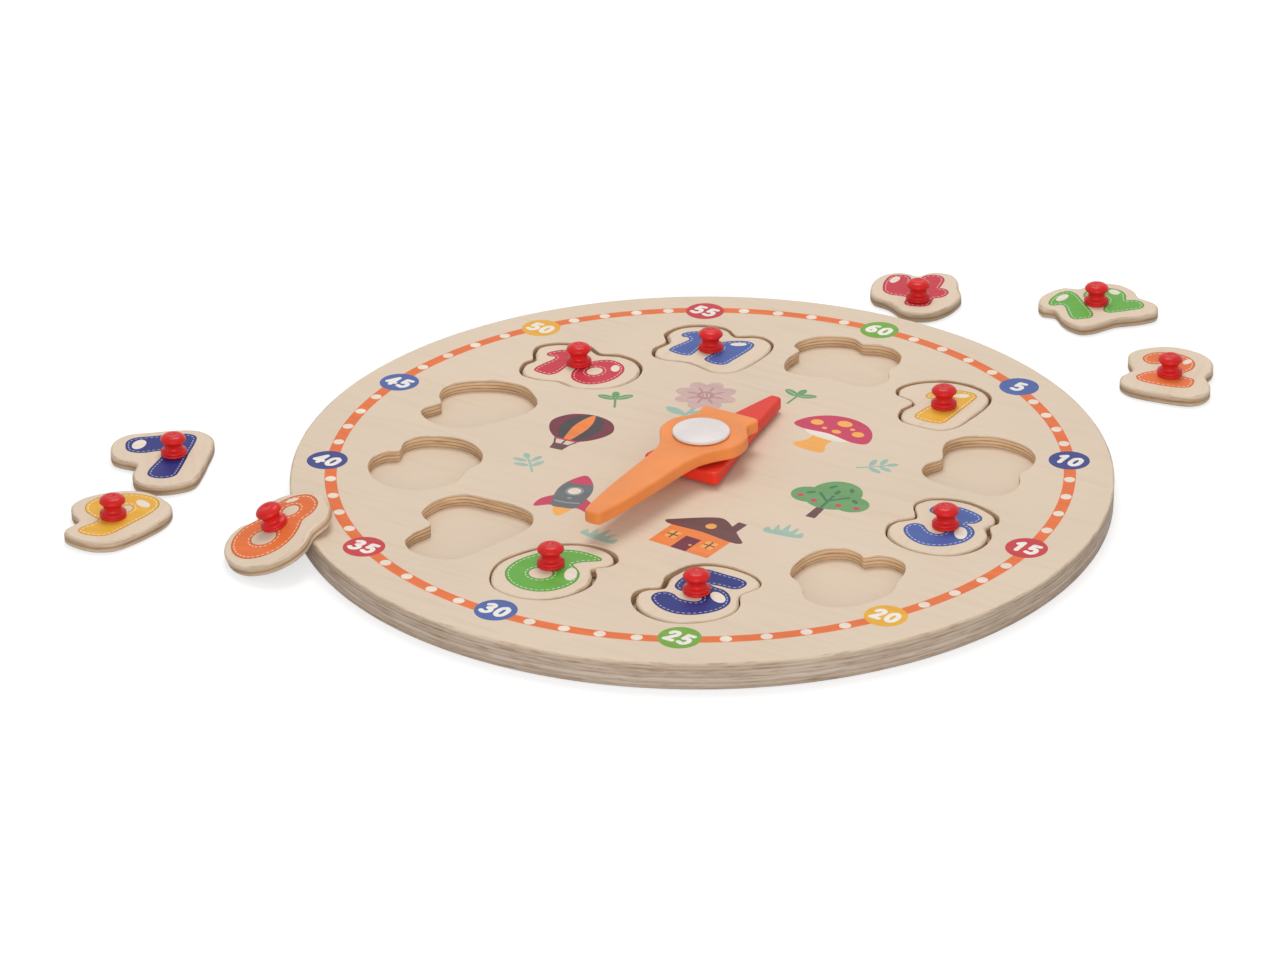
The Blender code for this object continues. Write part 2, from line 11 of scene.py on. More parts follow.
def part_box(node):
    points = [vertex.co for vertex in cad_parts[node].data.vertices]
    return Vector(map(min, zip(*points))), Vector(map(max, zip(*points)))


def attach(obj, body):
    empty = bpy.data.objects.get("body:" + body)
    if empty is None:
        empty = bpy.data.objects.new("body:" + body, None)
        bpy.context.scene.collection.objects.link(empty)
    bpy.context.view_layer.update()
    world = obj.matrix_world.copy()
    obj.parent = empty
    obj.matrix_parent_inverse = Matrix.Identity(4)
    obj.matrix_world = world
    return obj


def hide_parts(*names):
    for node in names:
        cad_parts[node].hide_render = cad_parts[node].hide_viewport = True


# Tables below are in millimetres in the world, or in the frame of the tile they belong to
MM = 0.001

# Camera, fitted to the photograph
PHOTO_WIDTH, PHOTO_HEIGHT = 1278, 959
CAMERA_PLACE = (727.26, -1185.38, 700.33)
CAMERA_TARGET = (-23.60, -5.46, 0.0)
CAMERA_ROLL_DEG = -0.7357
FOCAL_PIXELS = 4252.93
SENSOR_WIDTH = 36.0

# Outlines
FLAT = 0.999
WELD = 3e-6
FINE_STEPS = 5
ROUND_STEPS = 4
DISC_STEPS = 288
TURNED_STEPS = 72
CAP_STEPS = 128
RING_STEPS = 360
LINE_STEPS = 4

# Sizes of the drawn edges
BOARD_ROUNDING = 0.7
POCKET_ROUNDING = 0.3
TILE_ROUNDING = 0.95
TILE_UNDER_ROUNDING = 0.8
HAND_ROUNDING = 0.95
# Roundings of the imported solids' edges
TILE_CAD_ROUNDING = 0.9
HAND_CAD_ROUNDING = 1.0
HOLE_ROUNDING = 0.1
SHARP = 0.02
GLUE_LINE = 0.04
EDGE_SAFETY = 0.06
CAP_SEAT_GAP = 0.3
CAP_RIM_SHARE = 0.42
CAP_SHARES = (0.12, 0.25, 0.4, 0.55, 0.68, 0.8, 0.88, 0.94)
PIN_RADIUS = 3.0

# The name of the map of each piece's own places, which its grain follows
OWN_PLACE = "own_place"

# Print
FILM = 0.03
EDGE_LINE = 0.42
STITCH_INSET = 1.15
STITCH_LENGTH = 1.15
STITCH_PITCH = 1.95
STITCH_WIDTH = 0.42
STITCH_CLEARANCE_SHARE = 0.82
STITCH_PALENESS = 0.62
STITCH_WHITE = 252
EDGE_LINE_SHADE = 0.84
FLOWER_MIDDLE = 4.6
RING_CENTRE = (-1.4, 1.1)
RING_RADIUS = 134.65
BAND_WIDTH = 4.4
MARK_RADIUS = 7.5
DOT_RADII = (2.1, 2.0)
DOT_PITCH_SHARE = 0.19
DIGIT_HEIGHT = 8.0
DIGIT_WIDTH_SHARE = 0.94
DIGIT_STROKE_SHARE = 0.23
DIGIT_SLANT = 0.04
DIGIT_ADVANCE_SHARE = 0.68

# Light, in metres and watts: place, width and power of each lamp
KEY_LIGHT = ((-0.35, 0.55, 1.5), 0.9, 12.0)
FILL_LIGHT = ((0.75, -1.25, 0.4), 1.4, 13.0)
WORLD_STRENGTH = 0.47
SEEN_WHITE = 1.0
FLOOR_HALF_WIDTH = 4.0
FLOOR_LEVEL = -0.0002
FLOOR_GREY = 0.42
FLOOR_GLOW = 0.66

# Colours as they look in the photograph, 0 to 255
WOOD = (222, 202, 179)
WOOD_DARK = (213, 191, 165)
YELLOW = (229, 172, 56)
ORANGE = (226, 114, 56)
BLUE = (70, 92, 160)
DARK_BLUE = (34, 44, 118)
RED = (198, 50, 66)
GREEN = (98, 166, 62)
DISC_GREEN = (114, 164, 56)
DISC_BLUE = (74, 96, 160)
DISC_DARK_BLUE = (56, 64, 130)
DISC_RED = (196, 58, 64)
DISC_YELLOW = (230, 170, 52)
BAND_ORANGE = (227, 112, 56)
CREAM = (232, 220, 204)
WHITE_INK = (236, 230, 222)
CRIMSON = (196, 60, 92)
MAROON = (112, 44, 60)
BROWN = (104, 66, 66)
CHARCOAL = (66, 60, 62)
GREY = (104, 106, 108)
SOFT_GREY = (146, 146, 146)
SOFT_ORANGE = (240, 170, 84)
WARM_ORANGE = (236, 130, 66)
PINK = (206, 172, 166)
DEEP_PINK = (186, 140, 140)
LEAF_GREEN = (104, 152, 96)
DEEP_GREEN = (64, 116, 84)
TEAL = (155, 185, 170)
KNOB_RED = (212, 34, 34)
HOUR_RED = (224, 54, 38)
MINUTE_ORANGE = (239, 144, 78)
CAP_WHITE = (230, 222, 219)
WASHER_WHITE = (225, 222, 218)

# Turn of each tile that isn't seated, about the upright of its own top face
TILE_TURN_DEG = {2: 11.3, 4: 21.8, 7: 38.8, 8: -4.5, 9: 20.6, 12: 48.2}
# Place of each knob in its tile's frame
KNOB_PLACE = {1: (2.25, 2.25), 2: (2.0, -0.5), 3: (0.25, 2.5), 4: (3.25, -6.75), 5: (-0.75, 1.5), 6: (-3.5, 6.25),
              7: (7.5, 2.25), 8: (-3.25, 2.0), 9: (0.75, 0.25), 10: (0.75, 0.5), 11: (0.5, 1.0), 12: (0.25, 5.25)}
# How far each number is printed from its place in the table below, and how far it is turned
SEATED_PRINT_SHIFT = (1.2, -1.8, 0)
PRINT_SHIFT = {2: (0.4, -0.5, 0), 4: (0.4, -0.5, 3.4), 7: (0, -0.6, 0.8), 8: (0.4, -0.5, 0), 9: (0, -0.6, -2.6),
               12: (0, -0.6, -1.5)}

# Printed numbers: ink, outline loops in tenths of a millimetre, then, in millimetres and degrees, counters as
# centre and radii, and highlights as centre, radii and turn
TILE_PRINTS = {
    1: (YELLOW, [
        [(-93, 110), (-65, 148), (-26, 179), (15, 195), (56, 194), (79, 176), (84, 140), (84, 40), (84, -50),
         (78, -90), (48, -107), (0, -108), (-34, -102), (-46, -78), (-44, -30), (-34, 30), (-30, 70), (-46, 80),
         (-70, 70), (-89, 80)]],
        [], [(2.6, 15.2, 3, 1.7, 35)]),
    2: (ORANGE, [
        [(-120, 116), (-108, 154), (-74, 182), (-24, 193), (28, 184), (68, 156), (88, 114), (86, 70), (66, 30),
         (48, 4), (80, -4), (112, -12), (123, -46), (116, -86), (84, -102), (14, -106), (-50, -100), (-88, -84),
         (-100, -54), (-80, -18), (-44, 16), (-14, 48), (-12, 78), (-32, 90), (-52, 74), (-82, 69), (-108, 86)]],
        [], [(5.2, 13.2, 1.4, 2.6, -14)]),
    3: (BLUE, [
        [(-122, 150), (-110, 184), (-70, 196), (-25, 200), (25, 192), (66, 174), (79, 146), (69, 114), (46, 98),
         (75, 84), (102, 54), (112, 16), (104, -34), (74, -80), (34, -110), (-12, -122), (-62, -110), (-104, -82),
         (-130, -44), (-129, -8), (-108, 12), (-82, 12), (-60, -6), (-36, -22), (-8, -24), (10, -6), (2, 18),
         (-26, 34), (-54, 46), (-62, 70), (-56, 96), (-90, 106), (-116, 120)]],
        [], [(6.2, 2.4, 2.3, 4.6, 28)]),
    4: (RED, [
        [(-98, 158), (-64, 170), (-30, 162), (-15, 134), (-16, 94), (-4, 72), (10, 90), (20, 130), (36, 166),
         (70, 182), (104, 170), (119, 136), (112, 86), (106, 54), (126, 46), (142, 18), (134, -18), (112, -42),
         (89, -50), (82, -76), (74, -114), (48, -133), (10, -134), (-22, -122), (-28, -94), (-19, -52), (-50, -39),
         (-88, -30), (-116, -2), (-124, 50), (-118, 110)]],
        [], [(-8, 11.9, 1.7, 3.4, -22)]),
    5: (DARK_BLUE, [
        [(-110, 166), (-85, 190), (0, 194), (75, 190), (99, 172), (99, 134), (78, 114), (24, 110), (-8, 103),
         (14, 96), (54, 92), (94, 66), (120, 22), (120, -28), (94, -78), (52, -118), (2, -138), (-50, -136),
         (-100, -114), (-134, -80), (-136, -44), (-112, -20), (-80, -20), (-48, -36), (-16, -38), (14, -28), (24, -8),
         (12, 12), (-18, 20), (-46, 15), (-76, 12), (-104, 26), (-117, 64), (-116, 120)]],
        [], [(6.4, 3.6, 4.2, 2.3, -38)]),
    6: (GREEN, [
        [(80, 212), (30, 223), (-26, 220), (-76, 198), (-122, 152), (-154, 96), (-170, 34), (-162, -32), (-126, -82),
         (-78, -110), (-26, -118), (26, -104), (66, -70), (90, -20), (93, 32), (74, 78), (44, 106), (18, 124),
         (32, 152), (64, 178), (85, 196)]],
        [(-4.5, 1.2, 4.2, 4)], [(4.9, 5.9, 2.2, 4.6, 27)]),
    7: (DARK_BLUE, [
        [(-102, 118), (-96, 162), (-68, 188), (0, 193), (80, 196), (136, 192), (163, 164), (156, 108), (134, 36),
         (112, -44), (92, -110), (74, -152), (36, -168), (-4, -158), (-26, -132), (-22, -94), (4, -36), (32, 22),
         (44, 56), (20, 64), (-38, 56), (-78, 68), (-98, 90)]],
        [], [(-5.1, 13, 2.5, 4, -20)]),
    8: (ORANGE, [
        [(-22, 204), (26, 192), (64, 160), (76, 114), (64, 68), (78, 34), (93, -24), (86, -84), (50, -136),
         (-8, -166), (-72, -162), (-128, -128), (-162, -74), (-164, -16), (-136, 36), (-112, 64), (-118, 96),
         (-116, 136), (-84, 180)]],
        [(-2.9, 10.9, 3.3, 3), (-3.3, -4.7, 5.1, 4.2)], [(-6.6, 16.3, 2.6, 1.1, 32)]),
    9: (YELLOW, [
        [(-122, 66), (-114, 112), (-82, 154), (-34, 182), (20, 196), (74, 192), (118, 170), (140, 128), (136, 74),
         (112, 10), (82, -56), (52, -118), (26, -146), (-12, -152), (-54, -146), (-78, -126), (-72, -92), (-46, -58),
         (-38, -28), (-66, -8), (-102, 20)]],
        [(3.2, 7.6, 2.2, 2.8)], [(7.8, 12.6, 3.6, 1.9, -38)]),
    10: (RED, [
        [(-162, 50), (-148, 76), (-122, 102), (-90, 116), (-58, 112), (-42, 90), (-38, 40), (-32, -30), (-32, -90),
         (-48, -116), (-88, -122), (-120, -114), (-130, -90), (-122, -36), (-112, 16), (-120, 30), (-140, 24),
         (-159, 32)],
        [(98, 115), (142, 102), (174, 66), (187, 16), (182, -40), (158, -86), (124, -114), (86, -119), (46, -104),
         (18, -66), (7, -14), (16, 40), (40, 84), (68, 108)]],
        [(8.3, -0.2, 2.9, 3.5)], [(13.7, 5.9, 1.7, 2.9, 28)]),
    11: (BLUE, [
        [(-174, 98), (-158, 124), (-124, 148), (-88, 156), (-62, 142), (-54, 100), (-49, 30), (-42, -30), (-46, -62),
         (-76, -74), (-116, -72), (-142, -60), (-142, -24), (-128, 30), (-125, 62), (-138, 74), (-158, 70),
         (-172, 80)],
        [(-8, 90), (10, 118), (44, 146), (82, 161), (114, 152), (127, 120), (126, 50), (120, -20), (114, -64),
         (86, -80), (48, -78), (20, -64), (20, -20), (29, 34), (24, 62), (6, 66), (-7, 74)]],
        [], [(6.4, 11.9, 3.2, 1.5, 32)]),
    12: (GREEN, [
        [(-184, 102), (-166, 136), (-134, 170), (-98, 194), (-64, 196), (-47, 168), (-44, 100), (-44, 30),
         (-46, -34), (-64, -66), (-100, -72), (-134, -66), (-145, -44), (-139, 10), (-132, 66), (-142, 82),
         (-162, 78), (-180, 86)],
        [(-26, 126), (-14, 160), (22, 186), (66, 190), (110, 174), (138, 138), (140, 96), (129, 66), (126, 49),
         (150, 46), (174, 22), (176, -14), (156, -40), (110, -46), (56, -48), (16, -44), (2, -24), (16, 10), (42, 46),
         (58, 80), (54, 106), (32, 112), (12, 98), (-12, 100)]],
        [], [(-11.2, 14.2, 3.8, 1.8, 40), (10.6, 13.7, 2, 2.6, 10)]),
}

# Minute discs: number, place and colour
MINUTE_MARKS = [
    ("60", (-1.6, 135.7), DISC_GREEN), ("5", (68.9, 117.7), DISC_BLUE), ("10", (113.7, 71.3), DISC_DARK_BLUE),
    ("15", (132.3, 1.9), DISC_RED), ("20", (114.4, -67.0), DISC_YELLOW), ("25", (62.3, -116.2), DISC_GREEN),
    ("30", (-1.9, -131.8), DISC_BLUE), ("35", (-67.9, -116.7), DISC_RED), ("40", (-119.5, -67.4), DISC_DARK_BLUE),
    ("45", (-135.2, 1.0), DISC_BLUE), ("50", (-116.0, 70.0), DISC_YELLOW), ("55", (-69.3, 116.3), DISC_RED)]

# Centre lines of the small digits, in hundredths of their height, one list of strokes each
DIGIT_STROKES = {
    "0": [[(31, 87), (15, 76), (10, 50), (15, 24), (31, 13), (47, 24), (52, 50), (47, 76), (31, 87)]],
    "1": [[(16, 70), (36, 86)], [(36, 86), (36, 13)]],
    "2": [[(11, 69), (17, 82), (31, 87), (45, 80), (47, 64), (36, 45), (13, 15)], [(13, 14), (52, 14)]],
    "3": [[(12, 79), (28, 87), (44, 80), (43, 63), (27, 53)], [(27, 53), (45, 46), (50, 30), (40, 16), (24, 12),
          (9, 20)]],
    "4": [[(40, 13), (40, 86)], [(40, 86), (9, 34)], [(9, 33), (54, 33)]],
    "5": [[(48, 86), (19, 86)], [(19, 86), (16, 53)], [(16, 53), (33, 58), (48, 48), (49, 26), (34, 12),
          (11, 18)]],
    "6": [[(45, 84), (29, 79), (15, 60), (11, 36), (20, 17), (36, 13), (49, 25), (47, 42), (33, 51), (15, 42)]]}


# Geometry of outlines

def linear(colour):
    """A 0 to 255 screen colour as the linear values that shaders take."""
    shares = [c / 255 for c in colour]
    return tuple(s / 12.92 if s <= 0.04045 else ((s + 0.055) / 1.055) ** 2.4 for s in shares) + (1.0,)


def smooth_closed(points, steps):
    """A smooth closed loop through the points, by centripetal Catmull-Rom."""
    points = np.array(points, float)
    count = len(points)
    loop = []
    for i in range(count):
        p0, p1, p2, p3 = (points[(i + k) % count] for k in (-1, 0, 1, 2))
        loop.extend(catmull_rom(p0, p1, p2, p3, steps))
    return np.array(loop)


def smooth_open(points, steps):
    """A smooth open line through the points."""
    points = np.array(points, float)
    if len(points) == 2:
        return points
    ends = np.vstack([2 * points[0] - points[1], points, 2 * points[-1] - points[-2]])
    line = []
    for i in range(len(points) - 1):
        line.extend(catmull_rom(*ends[i:i + 4], steps))
    line.append(points[-1])
    return np.array(line)


def catmull_rom(p0, p1, p2, p3, steps):
    """Points from p1 up to, and without, p2."""
    knots = [0.0]
    for a, b in ((p0, p1), (p1, p2), (p2, p3)):
        knots.append(knots[-1] + max(np.linalg.norm(b - a), 1e-9) ** 0.5)
    t0, t1, t2, t3 = knots
    out = []
    for step in range(steps):
        t = t1 + (t2 - t1) * step / steps
        a1 = ((t1 - t) * p0 + (t - t0) * p1) / (t1 - t0)
        a2 = ((t2 - t) * p1 + (t - t1) * p2) / (t2 - t1)
        a3 = ((t3 - t) * p2 + (t - t2) * p3) / (t3 - t2)
        b1 = ((t2 - t) * a1 + (t - t0) * a2) / (t2 - t0)
        b2 = ((t3 - t) * a2 + (t - t1) * a3) / (t3 - t1)
        out.append(((t2 - t) * b1 + (t - t1) * b2) / (t2 - t1))
    return out


def signed_area(loop):
    after = np.roll(loop, -1, axis=0)
    return 0.5 * float(np.sum(loop[:, 0] * after[:, 1] - after[:, 0] * loop[:, 1]))


def turned_left(loop):
    """The loop, run so that its inside is on its left."""
    return loop if signed_area(loop) > 0 else loop[::-1]


def inset(loop, distance):
    """The loop, moved to its left by a distance."""
    tangent = np.roll(loop, -1, axis=0) - np.roll(loop, 1, axis=0)
    tangent /= np.linalg.norm(tangent, axis=1)[:, None]
    return loop + np.stack([-tangent[:, 1], tangent[:, 0]], axis=1) * distance


def ellipse(x, y, rx, ry, turn_deg=0.0, steps=40):
    angles = np.linspace(0, 2 * math.pi, steps, endpoint=False)
    c, s = math.cos(math.radians(turn_deg)), math.sin(math.radians(turn_deg))
    flat = np.stack([rx * np.cos(angles), ry * np.sin(angles)], axis=1)
    return flat @ np.array([[c, s], [-s, c]]) + (x, y)


def capsule(a, b, radius, steps=8):
    """Outline of a short stroke with round ends."""
    a, b = np.array(a, float), np.array(b, float)
    heading = math.atan2(b[1] - a[1], b[0] - a[0])
    angles = np.linspace(-math.pi / 2, math.pi / 2, steps + 1)
    far = [b + radius * np.array([math.cos(heading + t), math.sin(heading + t)]) for t in angles]
    near = [a - radius * np.array([math.cos(heading + t), math.sin(heading + t)]) for t in angles]
    return np.array(far + near)


def stroke(points, radius):
    """Capsules along a line, as one shape's loops."""
    return [capsule(a, b, radius) for a, b in zip(points[:-1], points[1:])]


def resampled(loop, pitch):
    """Points at an even pitch along a closed loop, and their headings."""
    closed = np.vstack([loop, loop[:1]])
    lengths = np.linalg.norm(np.diff(closed, axis=0), axis=1)
    total = lengths.sum()
    count = max(3, round(total / pitch))
    along = np.concatenate([[0], np.cumsum(lengths)])
    places = np.arange(count) * total / count
    xy = np.stack([np.interp(places, along, closed[:, k]) for k in (0, 1)], axis=1)
    ahead = np.stack([np.interp((places + 0.2) % total, along, closed[:, k]) for k in (0, 1)], axis=1)
    heading = ahead - xy
    return xy, heading / np.linalg.norm(heading, axis=1)[:, None]


def contains(loop, points):
    """Which points lie inside a closed loop."""
    x, y = points[:, 0][:, None], points[:, 1][:, None]
    x0, y0 = loop[:, 0][None], loop[:, 1][None]
    x1, y1 = np.roll(loop[:, 0], -1)[None], np.roll(loop[:, 1], -1)[None]
    spans = (y0 > y) != (y1 > y)
    rise = np.where(y1 == y0, 1e-30, y1 - y0)
    crossing = x < (x1 - x0) * (y - y0) / rise + x0
    return (spans & crossing).sum(axis=1) % 2 == 1


def triangulate(loops):
    """Points, triangles that fill the plane between closed loops, and the loop point each point came from."""
    coords, edges = [], []
    for loop in loops:
        first, count = len(coords), len(loop)
        coords.extend(Vector(p) for p in loop)
        edges.extend((first + i, first + (i + 1) % count) for i in range(count))
    result = geometry.delaunay_2d_cdt(coords, edges, [], 0, 1e-7)
    points = np.array([tuple(p) for p in result[0]])
    triangles = []
    for face in result[2]:
        a, b, c = points[list(face)]
        turn = (b[0] - a[0]) * (c[1] - a[1]) - (b[1] - a[1]) * (c[0] - a[0])
        if abs(turn) > 1e-12:
            triangles.append(tuple(face) if turn > 0 else tuple(reversed(face)))
    origins = [sources[0] if sources else -1 for sources in result[3]]
    return points, np.array(triangles), origins


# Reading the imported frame

def cad_loops(node, to_local=Matrix.Identity(4), below=0.0):
    """Outlines, in local millimetres, largest first, of a CAD node's flat top, or of its ring that far below."""
    solid = bmesh.new()
    solid.from_mesh(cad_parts[node].data)
    bmesh.ops.remove_doubles(solid, verts=solid.verts, dist=WELD)
    bmesh.ops.transform(solid, matrix=to_local, verts=solid.verts)
    solid.normal_update()
    level = max(v.co.z for v in solid.verts) - below * MM
    links = {}
    for edge in solid.edges:
        if any(abs(end.co.z - level) > WELD for end in edge.verts):
            continue
        tops = sum(face.normal.z > FLAT and min(v.co.z for v in face.verts) > level - WELD
                   for face in edge.link_faces)
        if below or tops == 1:
            for here, there in (edge.verts, reversed(edge.verts)):
                links.setdefault(here.index, set()).add(there.index)
    places = [(v.co.x / MM, v.co.y / MM) for v in solid.verts]
    solid.free()
    loops = []
    for start in sorted(links):
        loop, here = [start], start
        while links[here]:
            ahead = min(links[here])
            links[here].discard(ahead)
            links[ahead].discard(here)
            if ahead == start:
                break
            loop.append(ahead)
            here = ahead
        if len(loop) > 4:
            loops.append(turned_left(np.array([places[i] for i in loop])))
    return sorted(loops, key=lambda loop: -abs(signed_area(loop)))


def tile_frame(hour):
    """Pose of a tile: its underside's origin and its turn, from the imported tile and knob."""
    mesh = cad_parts[f"tile_{hour}"].data
    normals = {}
    for polygon in mesh.polygons:
        key = tuple(round(v, 4) for v in polygon.normal)
        normals[key] = normals.get(key, 0.0) + polygon.area
    up = Vector(max((n for n in normals if n[2] > 0.5), key=normals.get)).normalized()
    turn = Matrix.Rotation(math.radians(TILE_TURN_DEG.get(hour, 0.0)), 4, "Z")
    pose = Vector((0, 0, 1)).rotation_difference(up).to_matrix().to_4x4() @ turn
    places = np.array([tuple(v.co) for v in mesh.vertices])
    lowest = float((places @ np.array(up)).min())
    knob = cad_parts[f"knob_{hour}"].data
    spread = np.array([tuple(pose.inverted() @ v.co) for v in knob.vertices])
    centre = (spread.min(axis=0) + spread.max(axis=0)) / 2
    place = Vector(KNOB_PLACE[hour]) * MM
    origin = pose @ Vector((centre[0] - place.x, centre[1] - place.y, 0.0))
    origin += up * (lowest - origin.dot(up))
    pose.translation = origin
    return pose


# Meshes

def new_object(name, data):
    thing = bpy.data.objects.new(name, data)
    bpy.context.scene.collection.objects.link(thing)
    return thing


def new_piece(name, points, faces, indices, materials, smooth, matrix, body, slot, nodes=()):
    """One finished piece, riding its body, from points in millimetres in the frame of a matrix."""
    own = np.asarray(points, float) * MM
    turn, shift = np.array(matrix.to_3x3()), np.array(matrix.translation)
    mesh = bpy.data.meshes.new(name)
    mesh.from_pydata([tuple(p) for p in own @ turn.T + shift], [], [tuple(map(int, f)) for f in faces])
    for material in materials:
        mesh.materials.append(material)
    mesh.polygons.foreach_set("material_index", indices)
    mesh.polygons.foreach_set("use_smooth", smooth)
    own_places = mesh.attributes.new(OWN_PLACE, "FLOAT_VECTOR", "POINT")
    own_places.data.foreach_set("vector", (own + shift * (1, 1, 0)).ravel())
    mesh.validate()
    piece = new_object(name, mesh)
    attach(piece, body)
    if nodes:
        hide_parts(*nodes)
    return piece


def edge_profile(low, high, round_low, round_high):
    """Inset and height of each ring of a plate's edge, from its underside up."""
    angles = [math.pi / 2 * step / ROUND_STEPS for step in range(ROUND_STEPS + 1)]
    return ([(round_low * (1 - math.sin(a)), low + round_low * (1 - math.cos(a))) for a in angles]
            + [(round_high * (1 - math.cos(a)), high - round_high * (1 - math.sin(a))) for a in angles])


def plate(name, outer, holes, low, high, rounding, hole_rounding, materials, **piece):
    """A flat plate with rounded edges: materials are face, edge and hole wall."""
    points, faces, indices, smooth = [], [], [], []
    rings_low, rings_high = [], []
    for number, loop in enumerate([outer] + holes):
        run = loop if number == 0 else loop[::-1]
        rounds = rounding if number == 0 else hole_rounding
        first, count = len(points), len(run)
        profile = edge_profile(low, high, *rounds)
        for distance, height in profile:
            moved = inset(run, distance)
            points.extend((x, y, height) for x, y in moved)
        rings_low.append((inset(run, profile[0][0]), first))
        rings_high.append((inset(run, profile[-1][0]), first + count * (len(profile) - 1)))
        for ring in range(len(profile) - 1):
            for i in range(count):
                a, b = first + ring * count + i, first + ring * count + (i + 1) % count
                faces.append((a, b, b + count, a + count))
                indices.append(1 if number == 0 else 2)
                smooth.append(True)
    for rings, height, flip in ((rings_low, low, True), (rings_high, high, False)):
        loops = [ring for ring, first in rings]
        flat, triangles, origins = triangulate(loops)
        centres = flat[triangles].mean(axis=1)
        kept = contains(loops[0], centres)
        for loop in loops[1:]:
            kept &= ~contains(loop, centres)
        rim = [first + i for ring, first in rings for i in range(len(ring))]
        numbers = []
        for (x, y), origin in zip(flat, origins):
            numbers.append(rim[origin] if origin >= 0 else len(points))
            if origin < 0:
                points.append((x, y, height))
        for triangle in triangles[kept]:
            face = [numbers[i] for i in triangle]
            faces.append(face[::-1] if flip else face)
            indices.append(0)
            smooth.append(False)
    return new_piece(name, points, faces, indices, materials, smooth, **piece)


def turned(name, profile, low, materials, matrix, steps=TURNED_STEPS, **piece):
    """A body of revolution about local Z through (radius, height) rows, from the top centre down."""
    points, faces = [(0, 0, low + profile[0][1])], []
    for radius, height in profile[1:-1]:
        for step in range(steps):
            angle = 2 * math.pi * step / steps
            points.append((radius * math.cos(angle), radius * math.sin(angle), low + height))
    points.append((0, 0, low + profile[-1][1]))
    last = len(points) - 1
    for step in range(steps):
        after = (step + 1) % steps
        faces.append((0, 1 + step, 1 + after))
        for ring in range(len(profile) - 3):
            a, b = 1 + ring * steps + step, 1 + ring * steps + after
            faces.append((a, a + steps, b + steps, b))
        base = 1 + (len(profile) - 3) * steps
        faces.append((base + step, last, base + after))
    return new_piece(name, points, faces, [0] * len(faces), materials, [True] * len(faces), matrix, **piece)


def print_film(name, shapes, level, matrix, body, slot):
    """A thin layer of ink: shapes are (ink, loops, even_odd), each over the ones before it."""
    loops = [loop for ink, parts, even_odd in shapes for loop in parts]
    flat, triangles, origins = triangulate(loops)
    centres = flat[triangles].mean(axis=1)
    owner = np.full(len(triangles), -1)
    for number, (ink, parts, even_odd) in enumerate(shapes):
        hits = np.stack([contains(loop, centres) for loop in parts]).sum(axis=0)
        owner[(hits % 2 == 1) if even_odd else (hits > 0)] = number
    inks = []
    for ink, parts, even_odd in shapes:
        if ink is not None and ink not in inks:
            inks.append(ink)
    count = len(flat)
    points = [(x, y, level + FILM) for x, y in flat] + [(x, y, level) for x, y in flat]
    faces, indices, borders = [], [], {}
    for triangle, number in zip(triangles, owner):
        if number < 0 or shapes[number][0] is None:
            continue
        ink = inks.index(shapes[number][0])
        a, b, c = triangle
        faces += [(a, b, c), (c + count, b + count, a + count)]
        indices += [ink, ink]
        for pair in ((a, b), (b, c), (c, a)):
            if pair[::-1] in borders:
                del borders[pair[::-1]]
            else:
                borders[pair] = ink
    for (a, b), ink in borders.items():
        faces.append((b, a, a + count, b + count))
        indices.append(ink)
    used = sorted({v for face in faces for v in face})
    renumber = {v: i for i, v in enumerate(used)}
    points = [points[v] for v in used]
    faces = [[renumber[v] for v in face] for face in faces]
    film = new_piece(name, points, faces, indices, [ink_material(i) for i in inks], [False] * len(faces),
                     matrix, body, slot)
    bake_plan(film, points)
    return film


def bake_plan(piece, places):
    """Lay the piece's map out flat, as seen from above, so that its print keeps its detail."""
    places = np.array(places)[:, :2]
    low, span = places.min(axis=0), float((places.max(axis=0) - places.min(axis=0)).max())
    layer = piece.data.uv_layers.new(name="OFBake")
    for loop in piece.data.loops:
        layer.data[loop.index].uv = 0.02 + 0.96 * (places[loop.vertex_index] - low) / span


# Materials

def node_material(name, roughness, specular=0.2):
    """A new material, its node tree, and its shader node."""
    material = bpy.data.materials.new(name)
    material.use_nodes = True
    shader = material.node_tree.nodes["Principled BSDF"]
    shader.inputs["Roughness"].default_value = roughness
    shader.inputs["Specular IOR Level"].default_value = specular
    return material, material.node_tree, shader


def add_node(tree, kind, **settings):
    node = tree.nodes.new(kind)
    for key, value in settings.items():
        if key in node.inputs:
            node.inputs[key].default_value = value
        else:
            setattr(node, key, value)
    return node


def plug(tree, socket, value):
    """Give a socket another node's output, or a number or a linear colour of its own."""
    if isinstance(value, bpy.types.NodeSocket):
        tree.links.new(value, socket)
    else:
        socket.default_value = value


def calculated(tree, operation, *values):
    """Output of a math node on sockets and numbers."""
    node = add_node(tree, "ShaderNodeMath", operation=operation)
    for socket, value in zip(node.inputs, values):
        plug(tree, socket, value)
    return node.outputs["Value"]


def own_place(tree, packed=False):
    """Socket of a point's place in the frame of its own piece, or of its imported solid."""
    if packed:
        return add_node(tree, "ShaderNodeTexCoord").outputs["Object"]
    return add_node(tree, "ShaderNodeAttribute", attribute_name=OWN_PLACE).outputs["Vector"]


def own_noise(tree, stretch, scale, detail=3.0, roughness=0.55, packed=False):
    """Noise that rides with the piece, stretched along its axes. Gives its 0 to 1 socket."""
    mapping = add_node(tree, "ShaderNodeMapping", Scale=stretch)
    noise = add_node(tree, "ShaderNodeTexNoise", Scale=scale, Detail=detail, Roughness=roughness)
    tree.links.new(own_place(tree, packed), mapping.inputs["Vector"])
    tree.links.new(mapping.outputs["Vector"], noise.inputs["Vector"])
    return noise.outputs["Fac"]


